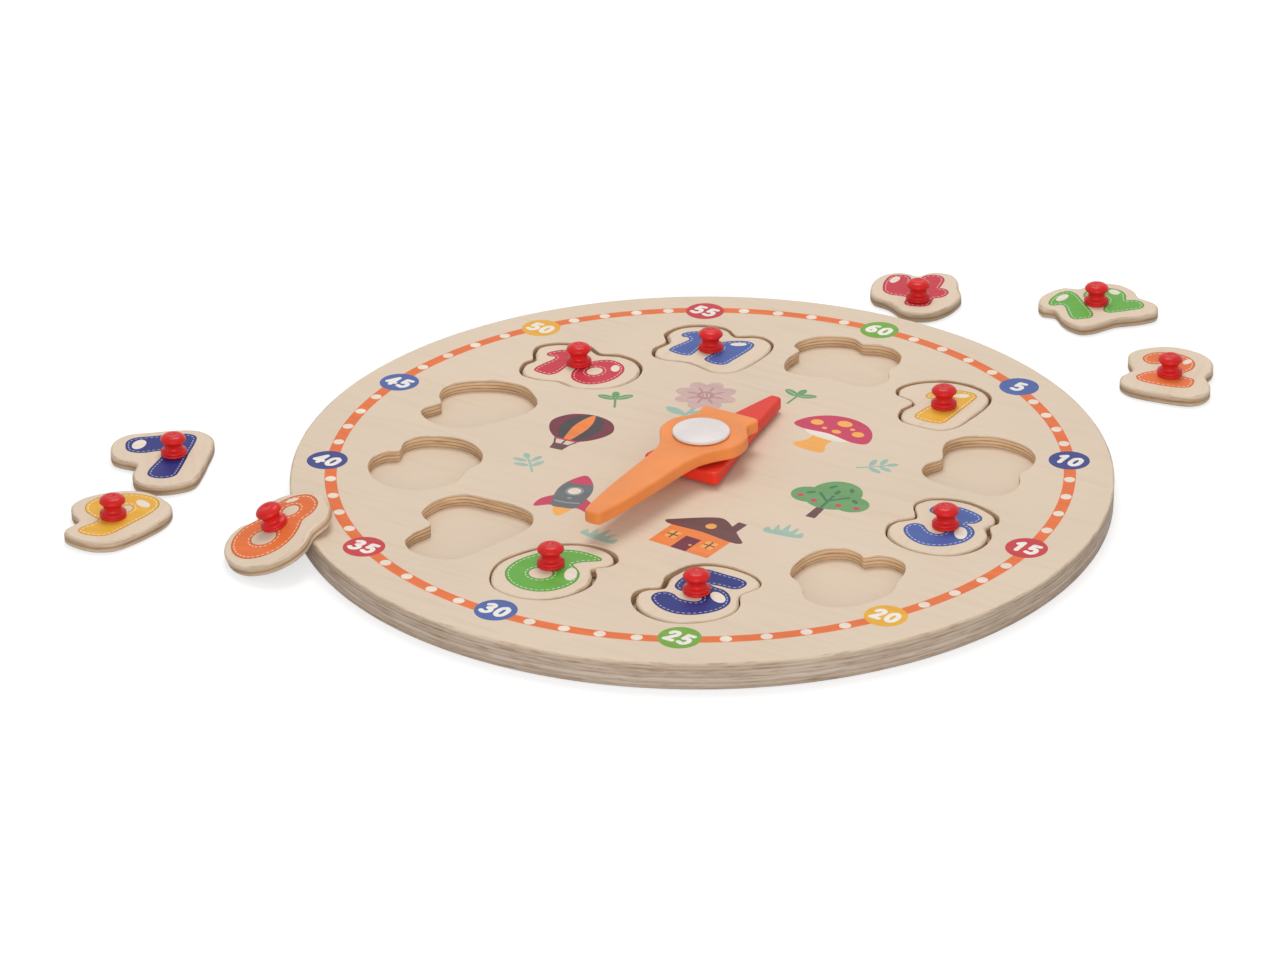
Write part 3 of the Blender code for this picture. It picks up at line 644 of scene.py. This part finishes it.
def colour_ramp(tree, value, stops):
    """Colours, as (share, 0 to 255 colour) stops, along a value."""
    ramp = add_node(tree, "ShaderNodeValToRGB")
    elements = ramp.color_ramp.elements
    while len(elements) < len(stops):
        elements.new(1.0)
    for element, (share, colour) in zip(elements, stops):
        element.position = share
        element.color = linear(colour)
    tree.links.new(value, ramp.inputs["Fac"])
    return ramp.outputs["Color"]


def mix_colours(tree, factor, first, second, blend="MIX"):
    """Two colour sockets, or linear colours, mixed by a socket or a number."""
    mix = add_node(tree, "ShaderNodeMix", data_type="RGBA", blend_type=blend)
    for socket, value in ((mix.inputs[0], factor), (mix.inputs[6], first), (mix.inputs[7], second)):
        plug(tree, socket, value)
    return mix.outputs[2]


def add_bump(tree, shader, height, distance, strength=0.5):
    bump = add_node(tree, "ShaderNodeBump", Strength=strength, Distance=distance)
    tree.links.new(height, bump.inputs["Height"])
    tree.links.new(bump.outputs["Normal"], shader.inputs["Normal"])


def shade(colour, factor):
    return tuple(min(255, c * factor) for c in colour)


def wood_face(name, colour, streak, stretch=(5, 60, 5)):
    """Pale, lacquered face veneer with faint, long streaks and a soft cloudiness."""
    material, tree, shader = node_material(name, 0.5)
    streaks = own_noise(tree, stretch, 4.0, detail=4.0)
    clouds = own_noise(tree, (1, 1.6, 1), 9.0, detail=2.0)
    grain = colour_ramp(tree, streaks, [(0.30, shade(colour, 0.965)), (0.52, colour), (0.72, streak)])
    tone = colour_ramp(tree, clouds, [(0.35, shade(colour, 0.985)), (0.65, shade(colour, 1.02))])
    tree.links.new(mix_colours(tree, 0.45, grain, tone), shader.inputs["Base Color"])
    add_bump(tree, shader, streaks, 0.00004)
    return material


def ply_edge(name, low, high, stops, waviness=0.05):
    """Sanded plywood edge: layers by height between two levels, in millimetres, with short dark fibres."""
    material, tree, shader = node_material(name, 0.62)
    split = add_node(tree, "ShaderNodeSeparateXYZ")
    tree.links.new(own_place(tree), split.inputs["Vector"])
    share = add_node(tree, "ShaderNodeMapRange")
    share.inputs["From Min"].default_value = low * MM
    share.inputs["From Max"].default_value = high * MM
    tree.links.new(split.outputs["Z"], share.inputs["Value"])
    wave = own_noise(tree, (1, 1, 3), 22.0, detail=2.0)
    shift = calculated(tree, "MULTIPLY_ADD", wave, waviness, -waviness / 2)
    layers = colour_ramp(tree, calculated(tree, "ADD", share.outputs["Result"], shift), stops)
    fibres = own_noise(tree, (12, 12, 160), 9.0, detail=4.0)
    dark = colour_ramp(tree, fibres, [(0.34, (224, 214, 204)), (0.50, (255, 255, 255)), (0.70, (255, 255, 255))])
    blotches = own_noise(tree, (3, 3, 14), 14.0, detail=3.0)
    soft = colour_ramp(tree, blotches, [(0.35, (238, 233, 229)), (0.6, (255, 255, 255))])
    colour = mix_colours(tree, 1.0, layers, dark, "MULTIPLY")
    tree.links.new(mix_colours(tree, 1.0, colour, soft, "MULTIPLY"), shader.inputs["Base Color"])
    add_bump(tree, shader, fibres, 0.00008)
    return material


def plastic(name, colour, roughness, packed=False):
    """Moulded plastic: an even colour with a slight cloudiness and a fine moulded skin."""
    material, tree, shader = node_material(name, roughness, 0.18)
    clouds = own_noise(tree, (1, 1, 1), 60.0, detail=2.0, packed=packed)
    tone = colour_ramp(tree, clouds, [(0.35, shade(colour, 0.97)), (0.65, shade(colour, 1.02))])
    tree.links.new(tone, shader.inputs["Base Color"])
    skin = own_noise(tree, (1, 1, 1), 900.0, detail=2.0, packed=packed)
    add_bump(tree, shader, skin, 0.00002, 0.35)
    return material


INKS = {}


def ink_material(colour):
    """Ink printed on wood: the veneer's streaks show faintly through it."""
    if colour not in INKS:
        material, tree, shader = node_material("ink_%02x%02x%02x" % tuple(int(c) for c in colour), 0.46)
        streaks = own_noise(tree, (5, 60, 5), 5.0, detail=4.0)
        tone = colour_ramp(tree, streaks, [(0.32, shade(colour, 0.965)), (0.68, shade(colour, 1.035))])
        tree.links.new(tone, shader.inputs["Base Color"])
        INKS[colour] = material
    return INKS[colour]


# Printed shapes

def stitches(loop, distance, ink, edge):
    """Short dashes along a line inset from a loop, left out where the line meets another part of the edge."""
    line = inset(loop, distance)
    places, headings = resampled(line, STITCH_PITCH)
    dashes = []
    for place, heading in zip(places, headings):
        if np.linalg.norm(edge - place, axis=1).min() < distance * STITCH_CLEARANCE_SHARE:
            continue
        side = np.array([-heading[1], heading[0]]) * STITCH_WIDTH / 2
        half = heading * STITCH_LENGTH / 2
        dashes.append(np.array([place - half - side, place + half - side, place + half + side, place - half + side]))
    return (ink, dashes, False)


def tile_print_shapes(hour):
    """A number in ink: a darker edge line, a fill, a row of stitches and a pale highlight."""
    ink, loops, counters, lights = TILE_PRINTS[hour]
    outlines = [turned_left(smooth_closed(np.array(points) / 10, FINE_STEPS)) for points in loops]
    counters = [ellipse(*row) for row in counters]
    edge = np.vstack(outlines + counters)
    shapes = [(shade(ink, EDGE_LINE_SHADE), outlines + counters, True),
              (ink, [inset(loop, EDGE_LINE) for loop in outlines]
               + [inset(loop[::-1], EDGE_LINE) for loop in counters], True)]
    pale = tuple(c + (STITCH_WHITE - c) * STITCH_PALENESS for c in ink)
    for loop in outlines + [loop[::-1] for loop in counters]:
        shapes.append(stitches(loop, STITCH_INSET, pale, edge))
    for row in lights:
        shapes.append((CREAM, [ellipse(*row)], False))
    x, y, turn = PRINT_SHIFT.get(hour, SEATED_PRINT_SHIFT)
    return placed(shapes, (x, y), turn)


def digit_shapes(text, centre, height, ink):
    """Small upright numbers of one ink, drawn with a thick round stroke."""
    advance = height * DIGIT_ADVANCE_SHARE
    start = -advance * len(text) / 2
    parts = []
    for number, digit in enumerate(text):
        for line in DIGIT_STROKES[digit]:
            points = smooth_open(np.array(line) / 100, LINE_STEPS) * (height * DIGIT_WIDTH_SHARE, height)
            points[:, 0] += start + number * advance + 0.04 * height
            points[:, 1] -= height / 2
            points[:, 0] += points[:, 1] * DIGIT_SLANT
            parts += stroke(points + centre, height * DIGIT_STROKE_SHARE / 2)
    return (ink, parts, False)


def blob(ink, *points):
    return (ink, [smooth_closed(points, FINE_STEPS)], True)


def polygon(ink, *points):
    return (ink, [np.array(points, float)], True)


def oblong(ink, x0, y0, x1, y1):
    return polygon(ink, (x0, y0), (x1, y0), (x1, y1), (x0, y1))


def twin(*points):
    """Points down the right side of a symmetric outline, then their mirror images back up its left."""
    return points + tuple((-x, y) for x, y in reversed(points) if x)


def petals(reach, rx, ry):
    """Rows of ovals all round the middle of the flower."""
    angles = [math.radians(a) for a in range(0, 360, 45)]
    return [(reach * math.sin(a), FLOWER_MIDDLE + reach * math.cos(a), rx, ry, -math.degrees(a)) for a in angles]


def oval(ink, *rows):
    return (ink, [ellipse(*row) for row in rows], False)


def lines(ink, radius, *polylines):
    return (ink, [part for line in polylines for part in stroke(smooth_open(line, LINE_STEPS), radius)], False)


MOTIFS = {
    "toadstool": [
        blob(SOFT_ORANGE, *twin((4, 0), (4.2, -8), (6.6, -14), (0, -15.4))),
        blob(CREAM, *twin((0, 0.8), (10.5, -0.4), (6.5, -3.6), (0, -4.4))),
        blob(CRIMSON, *twin((0, 15.6), (8.4, 13.4), (14.4, 7.4), (16, 0.6), (11, -1.2), (0, 0.2))),
        oval(SOFT_ORANGE, (-9.2, 6.0, 2.5, 2.2), (0.2, 10.4, 3.0, 2.4), (9.2, 5.6, 2.4, 2.1), (1.2, 3.2, 1.9, 1.4),
             (-4.2, 3.4, 1.1, 0.9), (5.2, 8.0, 1.0, 0.9))],
    "tree": [
        polygon(BROWN, *twin((1.4, -4), (1.9, -15.5))),
        oval(LEAF_GREEN, (0, 5.6, 9.4, 9.6), (-8.6, 0.4, 6.6, 6.0), (8.6, 0.2, 6.6, 6.0), (0, -2.0, 8.0, 5.4)),
        lines(DEEP_GREEN, 0.6, [(0, -7), (0, 3)], [(0, -2), (-5.5, 3.5)], [(0, -1), (5.5, 4.5)]),
        oval(DEEP_GREEN, (-8.6, 2.4, 1.8, 0.9, 40), (8.8, 2.6, 1.8, 0.9, -40), (-3.4, 9.6, 1.8, 0.9, 60),
             (4.0, 10.0, 1.8, 0.9, -60), (0, 6.4, 1.9, 0.9, 90)),
        oval(CRIMSON, (-11, -1.4, 1.2, 1.2), (4.8, -2.6, 1.2, 1.2), (11.6, -1.8, 1.2, 1.2), (-4.8, -3.0, 1.2, 1.2))],
    "house": [
        oblong(BROWN, 6.4, 6, 10, 14.5),
        oblong(WARM_ORANGE, -12.5, -14.5, 12.5, 3),
        blob(BROWN, *twin((1.6, 13.4), (13.4, 4.6), (16.4, 1.6), (14.6, 0.2), (0, 1.0))),
        oblong(MAROON, -3.2, -14.5, 3.2, -4.4),
        oblong(SOFT_ORANGE, -10, -8.8, -5.4, -3.6),
        oblong(SOFT_ORANGE, 5.4, -8.8, 10, -3.6),
        lines(BROWN, 0.35, [(-7.7, -8.6), (-7.7, -3.8)], [(-9.8, -6.2), (-5.6, -6.2)],
              [(7.7, -8.6), (7.7, -3.8)], [(5.6, -6.2), (9.8, -6.2)]),
        oval(SOFT_ORANGE, (1.9, -9.6, 0.6, 0.6), (0, 6.4, 2.0, 2.0))],
    "rocket": [
        blob(SOFT_ORANGE, *twin((3.2, -9), (2.6, -13.4), (0, -16.6))),
        *[blob(CRIMSON, *[(x * side, y) for x, y in ((4.6, -1), (9.8, -5.4), (10.4, -11.6), (5.6, -9.4), (3.6, -9))])
          for side in (-1, 1)],
        blob(GREY, *twin((0, 16.4), (3.8, 12.2), (6.2, 5.6), (6.2, -1.2), (4.2, -9.6), (0, -10.2))),
        blob(CRIMSON, *twin((0, 16.4), (2.8, 13.6), (4.4, 10.2), (0, 9.2))),
        oval(SOFT_GREY, (0, 3.4, 3.4, 3.4)), oval(CREAM, (0, 3.4, 2.4, 2.4)),
        lines(SOFT_GREY, 0.5, [(-4.6, -5.4), (0, -6.0), (4.6, -5.4)]),
        oval(SOFT_GREY, (0, -2.4, 0.8, 0.8))],
    "balloon": [
        lines(CHARCOAL, 0.35, [(-5.4, -5), (-2.8, -11)], [(5.4, -5), (2.8, -11)], [(0, -5), (0, -11)]),
        blob(MAROON, *twin((0, 16), (8.6, 13.2), (12.6, 6.2), (10.4, -0.8), (4.4, -6.6))),
        blob(CHARCOAL, *twin((0, 16), (5.4, 12.6), (7.8, 6.0), (6.2, -1.2), (2.6, -6.9))),
        blob(WARM_ORANGE, *twin((0, 16), (1.9, 12), (2.9, 5.6), (2.3, -1.4), (0.9, -7.0))),
        polygon(BROWN, *twin((3.3, -10.6), (2.6, -15.2))),
        lines(CRIMSON, 0.55, [(-4.4, -6.9), (4.4, -6.9)])],
    "flower": [
        lines(TEAL, 0.8, [(0, -3), (0.8, -9), (0, -15.4)]),
        blob(TEAL, (0.4, -12), (4.4, -7.6), (9.4, -7.4), (6.6, -11.6)),
        blob(TEAL, (0.2, -14), (-4.2, -10.0), (-9.2, -10.4), (-5.8, -14.2)),
        oval(PINK, *petals(7.0, 3.5, 5.2)),
        oval(DEEP_PINK, *petals(5.4, 0.55, 2.2)),
        oval(DEEP_PINK, (0, 4.6, 3.4, 3.4)),
        oval(CREAM, (-0.9, 5.5, 0.45, 0.45), (0.9, 5.5, 0.45, 0.45), (0, 3.8, 0.45, 0.45), (-1.5, 4.0, 0.35, 0.35),
             (1.5, 4.0, 0.35, 0.35))],
    "fern": [
        lines(TEAL, 0.45, [(0, -7), (0.3, 0), (0, 6.2)]),
        oval(TEAL, (0, 6.2, 1.2, 2.2), (-2.9, 3.6, 2.8, 1.1, -38), (3.1, 3.0, 2.8, 1.1, 38),
             (-3.0, -0.4, 2.9, 1.15, -34), (3.2, -1.0, 2.9, 1.15, 34))],
    "tuft": [blob(TEAL, *twin((0, 5.2), (1.6, -0.4), (3.8, 3.4), (4.4, -1.6), (6.6, 0.6), (7.4, -3.0), (0, -4.0)))],
    "sprout": [
        lines(LEAF_GREEN, 0.45, [(0, -6), (0, 1.6)]),
        oval(LEAF_GREEN, (-3.4, 2.8, 3.6, 1.7, -28), (3.4, 2.8, 3.6, 1.7, 28), (0, 5.0, 1.5, 2.6)),
        lines(TEAL, 0.28, [(-5.6, 3.8), (-1.2, 1.8)], [(5.6, 3.8), (1.2, 1.8)])],
}

# Name, motif, place and turn of each picture on the board
PICTURES = [
    ("picture_toadstool", "toadstool", (27.5, 45.5), -4), ("picture_tree", "tree", (54.5, -1.0), 3),
    ("picture_house", "house", (28.5, -47.0), -3), ("picture_rocket", "rocket", (-27.0, -45.5), 14),
    ("picture_balloon", "balloon", (-54.0, -1.5), 5), ("picture_flower", "flower", (-28.5, 46.0), 6),
    ("sprig_right_high", "fern", (55.5, 31.0), -50), ("sprig_right_low", "tuft", (53.0, -30.0), 8),
    ("sprig_left_high", "sprout", (-56.0, 29.5), 30), ("sprig_left_low", "fern", (-54.5, -31.5), 42),
    ("sprig_low", "tuft", (-1.0, -66.0), -6), ("sprig_high", "sprout", (1.0, 66.5), 0)]


def placed(shapes, centre, turn_deg):
    """A motif's shapes, turned and moved to their place."""
    c, s = math.cos(math.radians(turn_deg)), math.sin(math.radians(turn_deg))
    turn = np.array([[c, s], [-s, c]])
    return [(ink, [part @ turn + centre for part in parts], even_odd) for ink, parts, even_odd in shapes]


# The object

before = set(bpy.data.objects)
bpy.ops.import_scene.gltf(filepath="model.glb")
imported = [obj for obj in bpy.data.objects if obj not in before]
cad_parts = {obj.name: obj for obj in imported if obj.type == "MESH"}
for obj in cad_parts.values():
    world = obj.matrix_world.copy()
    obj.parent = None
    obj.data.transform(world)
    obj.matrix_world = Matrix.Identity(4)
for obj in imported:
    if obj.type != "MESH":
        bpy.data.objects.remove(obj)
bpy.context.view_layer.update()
WORLD = Matrix.Identity(4)

BOARD_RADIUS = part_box("base_board")[1].x / MM
BOARD_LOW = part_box("base_board")[0].z / MM
BOARD_JOIN = (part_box("base_board")[1].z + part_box("top_board")[0].z) / 2 / MM
BOARD_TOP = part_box("top_board")[1].z / MM
TILE_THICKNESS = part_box("tile_1")[1].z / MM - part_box("tile_1")[0].z / MM

face_wood = wood_face("face_wood", WOOD, WOOD_DARK)
tile_wood = wood_face("tile_face_wood", shade(WOOD, 1.015), WOOD_DARK, (60, 5, 5))
rim_wood = ply_edge("rim_wood", BOARD_LOW, BOARD_TOP, [
    (0.00, (206, 186, 165)), (0.06, (198, 179, 160)), (0.13, (190, 170, 151)), (0.20, (210, 192, 174)),
    (0.27, (186, 165, 146)), (0.34, (209, 191, 173)), (0.42, (212, 195, 178)), (0.49, (180, 158, 139)),
    (0.53, (209, 191, 173)), (0.61, (196, 176, 157)), (0.68, (212, 194, 176)), (0.75, (183, 161, 141)),
    (0.82, (209, 190, 171)), (0.89, (196, 175, 154)), (0.93, (216, 196, 173)), (1.00, (222, 202, 179))])
pocket_wood = ply_edge("pocket_wood", BOARD_JOIN, BOARD_TOP, [
    (0.00, (178, 139, 103)), (0.07, (213, 180, 143)), (0.18, (222, 192, 156)), (0.25, (172, 131, 93)),
    (0.32, (221, 191, 155)), (0.46, (224, 195, 159)), (0.53, (168, 126, 88)), (0.60, (221, 191, 155)),
    (0.76, (224, 195, 161)), (0.83, (180, 139, 101)), (0.88, (222, 197, 165)), (1.00, (224, 206, 184))])
tile_edge = ply_edge("tile_edge_wood", 0.0, TILE_THICKNESS, [
    (0.00, (220, 197, 170)), (0.20, (222, 201, 176)), (0.32, (208, 181, 151)), (0.42, (184, 151, 119)),
    (0.50, (178, 144, 111)), (0.58, (210, 181, 149)), (0.70, (222, 199, 172)), (0.84, (224, 203, 177)),
    (1.00, (224, 204, 181))], 0.04)
knob_red = plastic("knob_red", KNOB_RED, 0.26)
hour_red = plastic("hour_red", HOUR_RED, 0.34)
minute_orange = plastic("minute_orange", MINUTE_ORANGE, 0.36)
cap_white = plastic("cap_white", CAP_WHITE, 0.3)
washer_white = plastic("washer_white", WASHER_WHITE, 0.4, packed=True)


def disc_loop(radius):
    return ellipse(0, 0, radius, radius, steps=DISC_STEPS)


def build_boards():
    """Base board, and the top board with its pockets."""
    plate("base_board_wood", disc_loop(BOARD_RADIUS), [], BOARD_LOW, BOARD_JOIN - GLUE_LINE / 2,
          (BOARD_ROUNDING, SHARP), (SHARP, SHARP), [face_wood, rim_wood, rim_wood],
          matrix=WORLD, body="board", slot="plywood", nodes=("base_board",))
    holes = [smooth_closed(loop, FINE_STEPS) for loop in cad_loops("top_board")[1:]]
    plate("top_board_wood", disc_loop(BOARD_RADIUS), holes, BOARD_JOIN + GLUE_LINE / 2, BOARD_TOP,
          (SHARP, BOARD_ROUNDING), (SHARP, POCKET_ROUNDING), [face_wood, rim_wood, pocket_wood],
          matrix=WORLD, body="board", slot="dial_wood", nodes=("top_board",))


def widest_outline(node, edge, to_local=Matrix.Identity(4)):
    """A solid's widest outline, smoothed: the ring where the rounding of its upper edge ends."""
    return inset(smooth_closed(cad_loops(node, to_local, edge)[0], FINE_STEPS), EDGE_SAFETY)


def build_tile(hour):
    """A number tile with its print and its knob."""
    pose = tile_frame(hour)
    local = pose.inverted()
    body, node = f"tile_{hour}_body", f"tile_{hour}"
    high = max((local @ v.co).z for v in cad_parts[node].data.vertices) / MM
    outline = widest_outline(node, TILE_CAD_ROUNDING, local)
    plate(f"{node}_wood", outline, [], 0.0, high, (TILE_UNDER_ROUNDING, TILE_ROUNDING), (0, 0),
          [tile_wood, tile_edge, tile_edge], matrix=pose, body=body, slot="tile_wood", nodes=(node,))
    print_film(f"{node}_number", tile_print_shapes(hour), high, pose, body, "tile_wood")
    build_knob(hour, pose, high)


KNOB_PROFILE = [(0, 7.62), (0.5, 7.64), (0.9, 7.78), (1.4, 7.93), (2.2, 7.96), (3.0, 7.82), (3.7, 7.52), (4.3, 7.02),
                (4.66, 6.5), (4.76, 6.1), (4.68, 5.72), (4.3, 5.3), (3.8, 4.8), (3.45, 4.3), (3.3, 3.75), (3.26, 3.2),
                (3.34, 2.75), (3.6, 2.4), (4.1, 2.14), (4.6, 1.9), (4.84, 1.6), (4.86, 1.25), (4.74, 1.0), (4.52, 0.86),
                (4.54, 0.66), (4.76, 0.52), (4.86, 0.3), (4.8, 0.0), (0, 0)]
KNOB_SINK = 0.25


def build_knob(hour, pose, high):
    """The red knob, on the axis of its CAD solid."""
    x, y = KNOB_PLACE[hour]
    matrix = pose @ Matrix.Translation(Vector((x, y, 0)) * MM)
    turned(f"knob_{hour}_plastic", KNOB_PROFILE, high + KNOB_SINK, [knob_red], matrix,
           body=f"tile_{hour}_body", slot="knob_plastic", nodes=(f"knob_{hour}",))


def build_hand(node, material, body, slot):
    """A moulded hand with softly rounded edges, from the outline of its CAD solid."""
    low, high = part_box(node)[0].z / MM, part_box(node)[1].z / MM
    outline = widest_outline(node, HAND_CAD_ROUNDING)
    hole = smooth_closed(cad_loops(node)[-1], 2)
    plate(f"{node}_plastic", outline, [hole], low, high, (HAND_ROUNDING, HAND_ROUNDING), (HOLE_ROUNDING, HOLE_ROUNDING),
          [material] * 3, matrix=WORLD, body=body, slot=slot, nodes=(node,))


def build_pin():
    """The white domed cap and its shank."""
    low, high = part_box("centre_pin")
    radius = high.x / MM
    top, seat = high.z / MM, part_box("minute_hand")[1].z / MM + CAP_SEAT_GAP
    rim, crown = (top - seat) * CAP_RIM_SHARE, (top - seat) * (1 - CAP_RIM_SHARE)
    bow = (radius ** 2 + crown ** 2) / (2 * crown)
    profile = [(0, top)]
    for share in CAP_SHARES:
        r = radius * share
        profile.append((r, seat + rim - (bow - crown) + math.sqrt(bow ** 2 - r ** 2)))
    profile += [(radius * 0.975, seat + rim + crown * 0.075), (radius, seat + rim * 0.75), (radius, seat + rim * 0.2),
                (radius * 0.985, seat), (PIN_RADIUS, seat), (PIN_RADIUS, low.z / MM), (0, low.z / MM)]
    turned("centre_pin_plastic", profile, 0.0, [cap_white], WORLD, steps=CAP_STEPS, body="board",
           slot="cap_plastic", nodes=("centre_pin",))


def build_print():
    """The minute ring and the pictures on the board."""
    centre = np.array(RING_CENTRE)
    outer, inner = [ellipse(*RING_CENTRE, radius, radius, steps=RING_STEPS)
                    for radius in (RING_RADIUS + BAND_WIDTH / 2, RING_RADIUS - BAND_WIDTH / 2)]
    dots = []
    bearings = [math.atan2(x - centre[0], y - centre[1]) for text, (x, y), ink in MINUTE_MARKS]
    for bearing, after in zip(bearings, bearings[1:] + bearings[:1]):
        after = bearing + (after - bearing) % math.tau
        for step in (-1.5, -0.5, 0.5, 1.5):
            angle = (bearing + after) / 2 + step * DOT_PITCH_SHARE * (after - bearing)
            place = centre + RING_RADIUS * np.array([math.sin(angle), math.cos(angle)])
            dots.append(ellipse(place[0], place[1], *DOT_RADII, -math.degrees(angle), steps=24))
    cuts = [ellipse(x, y, MARK_RADIUS, MARK_RADIUS, steps=64) for text, (x, y), ink in MINUTE_MARKS]
    print_film("minute_ring", [(BAND_ORANGE, [outer, inner], True), (CREAM, dots, False), (None, cuts, False)],
               BOARD_TOP, WORLD, "board", "dial_wood")
    for (text, place, ink), disc in zip(MINUTE_MARKS, cuts):
        shapes = [(ink, [disc], True), digit_shapes(text, np.array(place), DIGIT_HEIGHT, WHITE_INK)]
        print_film(f"minute_mark_{text}", shapes, BOARD_TOP, WORLD, "board", "dial_wood")
    for name, motif, place, turn in PICTURES:
        print_film(name, placed(MOTIFS[motif], np.array(place), turn), BOARD_TOP, WORLD, "board", "dial_wood")


build_boards()
for hour in range(1, 13):
    build_tile(hour)
build_hand("hour_hand", hour_red, "hour_hand_body", "hour_plastic")
build_hand("minute_hand", minute_orange, "minute_hand_body", "minute_plastic")
build_pin()
build_print()
for node in ("lower_washer", "upper_washer", "pin_socket"):
    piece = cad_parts[node]
    piece.data.materials.clear()
    piece.data.materials.append(washer_white)


# Stage, light and camera

def build_stage():
    """A white floor that keeps the object's shadow, and a world that is white to the eye only."""
    mesh = bpy.data.meshes.new("floor")
    corners = [(x * FLOOR_HALF_WIDTH, y * FLOOR_HALF_WIDTH, FLOOR_LEVEL)
               for x, y in ((-1, -1), (1, -1), (1, 1), (-1, 1))]
    mesh.from_pydata(corners, [], [(0, 1, 2, 3)])
    floor = new_object("floor", mesh)
    material, tree, shader = node_material("floor_white", 0.9, 0.0)
    shader.inputs["Base Color"].default_value = (FLOOR_GREY, FLOOR_GREY, FLOOR_GREY, 1.0)
    glow = seen_only(tree, FLOOR_GLOW)
    emission = add_node(tree, "ShaderNodeEmission")
    tree.links.new(glow, emission.inputs["Strength"])
    both = add_node(tree, "ShaderNodeAddShader")
    tree.links.new(shader.outputs["BSDF"], both.inputs[0])
    tree.links.new(emission.outputs["Emission"], both.inputs[1])
    tree.links.new(both.outputs["Shader"], tree.nodes["Material Output"].inputs["Surface"])
    mesh.materials.append(material)

    world = bpy.data.worlds.new("studio")
    bpy.context.scene.world = world
    world.use_nodes = True
    tree = world.node_tree
    background = tree.nodes["Background"]
    background.inputs["Color"].default_value = (1.0, 1.0, 1.0, 1.0)
    strength = calculated(tree, "MAXIMUM", seen_only(tree, SEEN_WHITE), WORLD_STRENGTH)
    tree.links.new(strength, background.inputs["Strength"])


def seen_only(tree, strength):
    """A strength for what the camera sees, directly, in a reflection or through glass, and 0 otherwise."""
    rays = add_node(tree, "ShaderNodeLightPath").outputs
    seen = calculated(tree, "MAXIMUM", rays["Is Camera Ray"], rays["Is Glossy Ray"])
    seen = calculated(tree, "MAXIMUM", seen, rays["Is Transmission Ray"])
    return calculated(tree, "MULTIPLY", seen, strength)


def area_light(name, place, width, watts):
    """A round lamp that faces the middle of the board."""
    light = bpy.data.lights.new(name, "AREA")
    light.shape = "DISK"
    light.size = width
    light.energy = watts
    lamp = new_object(name, light)
    lamp.location = place
    lamp.rotation_euler = (-Vector(place)).to_track_quat("-Z", "Y").to_euler()


def build_camera():
    data = bpy.data.cameras.new("camera")
    data.sensor_width = SENSOR_WIDTH
    data.lens = FOCAL_PIXELS / PHOTO_WIDTH * SENSOR_WIDTH
    data.clip_start, data.clip_end = 0.05, 20.0
    camera = new_object("camera", data)
    place, target = Vector(CAMERA_PLACE) * MM, Vector(CAMERA_TARGET) * MM
    back = (place - target).normalized()
    right = Vector((0, 0, 1)).cross(back).normalized()
    up = back.cross(right)
    roll = math.radians(CAMERA_ROLL_DEG)
    tilted_right = math.cos(roll) * right + math.sin(roll) * up
    tilted_up = -math.sin(roll) * right + math.cos(roll) * up
    turn = Matrix((tilted_right, tilted_up, back)).transposed().to_4x4()
    camera.matrix_world = Matrix.Translation(place) @ turn
    bpy.context.scene.camera = camera


build_stage()
area_light("key", *KEY_LIGHT)
area_light("fill", *FILL_LIGHT)
build_camera()
bpy.context.scene.view_settings.view_transform = "Standard"
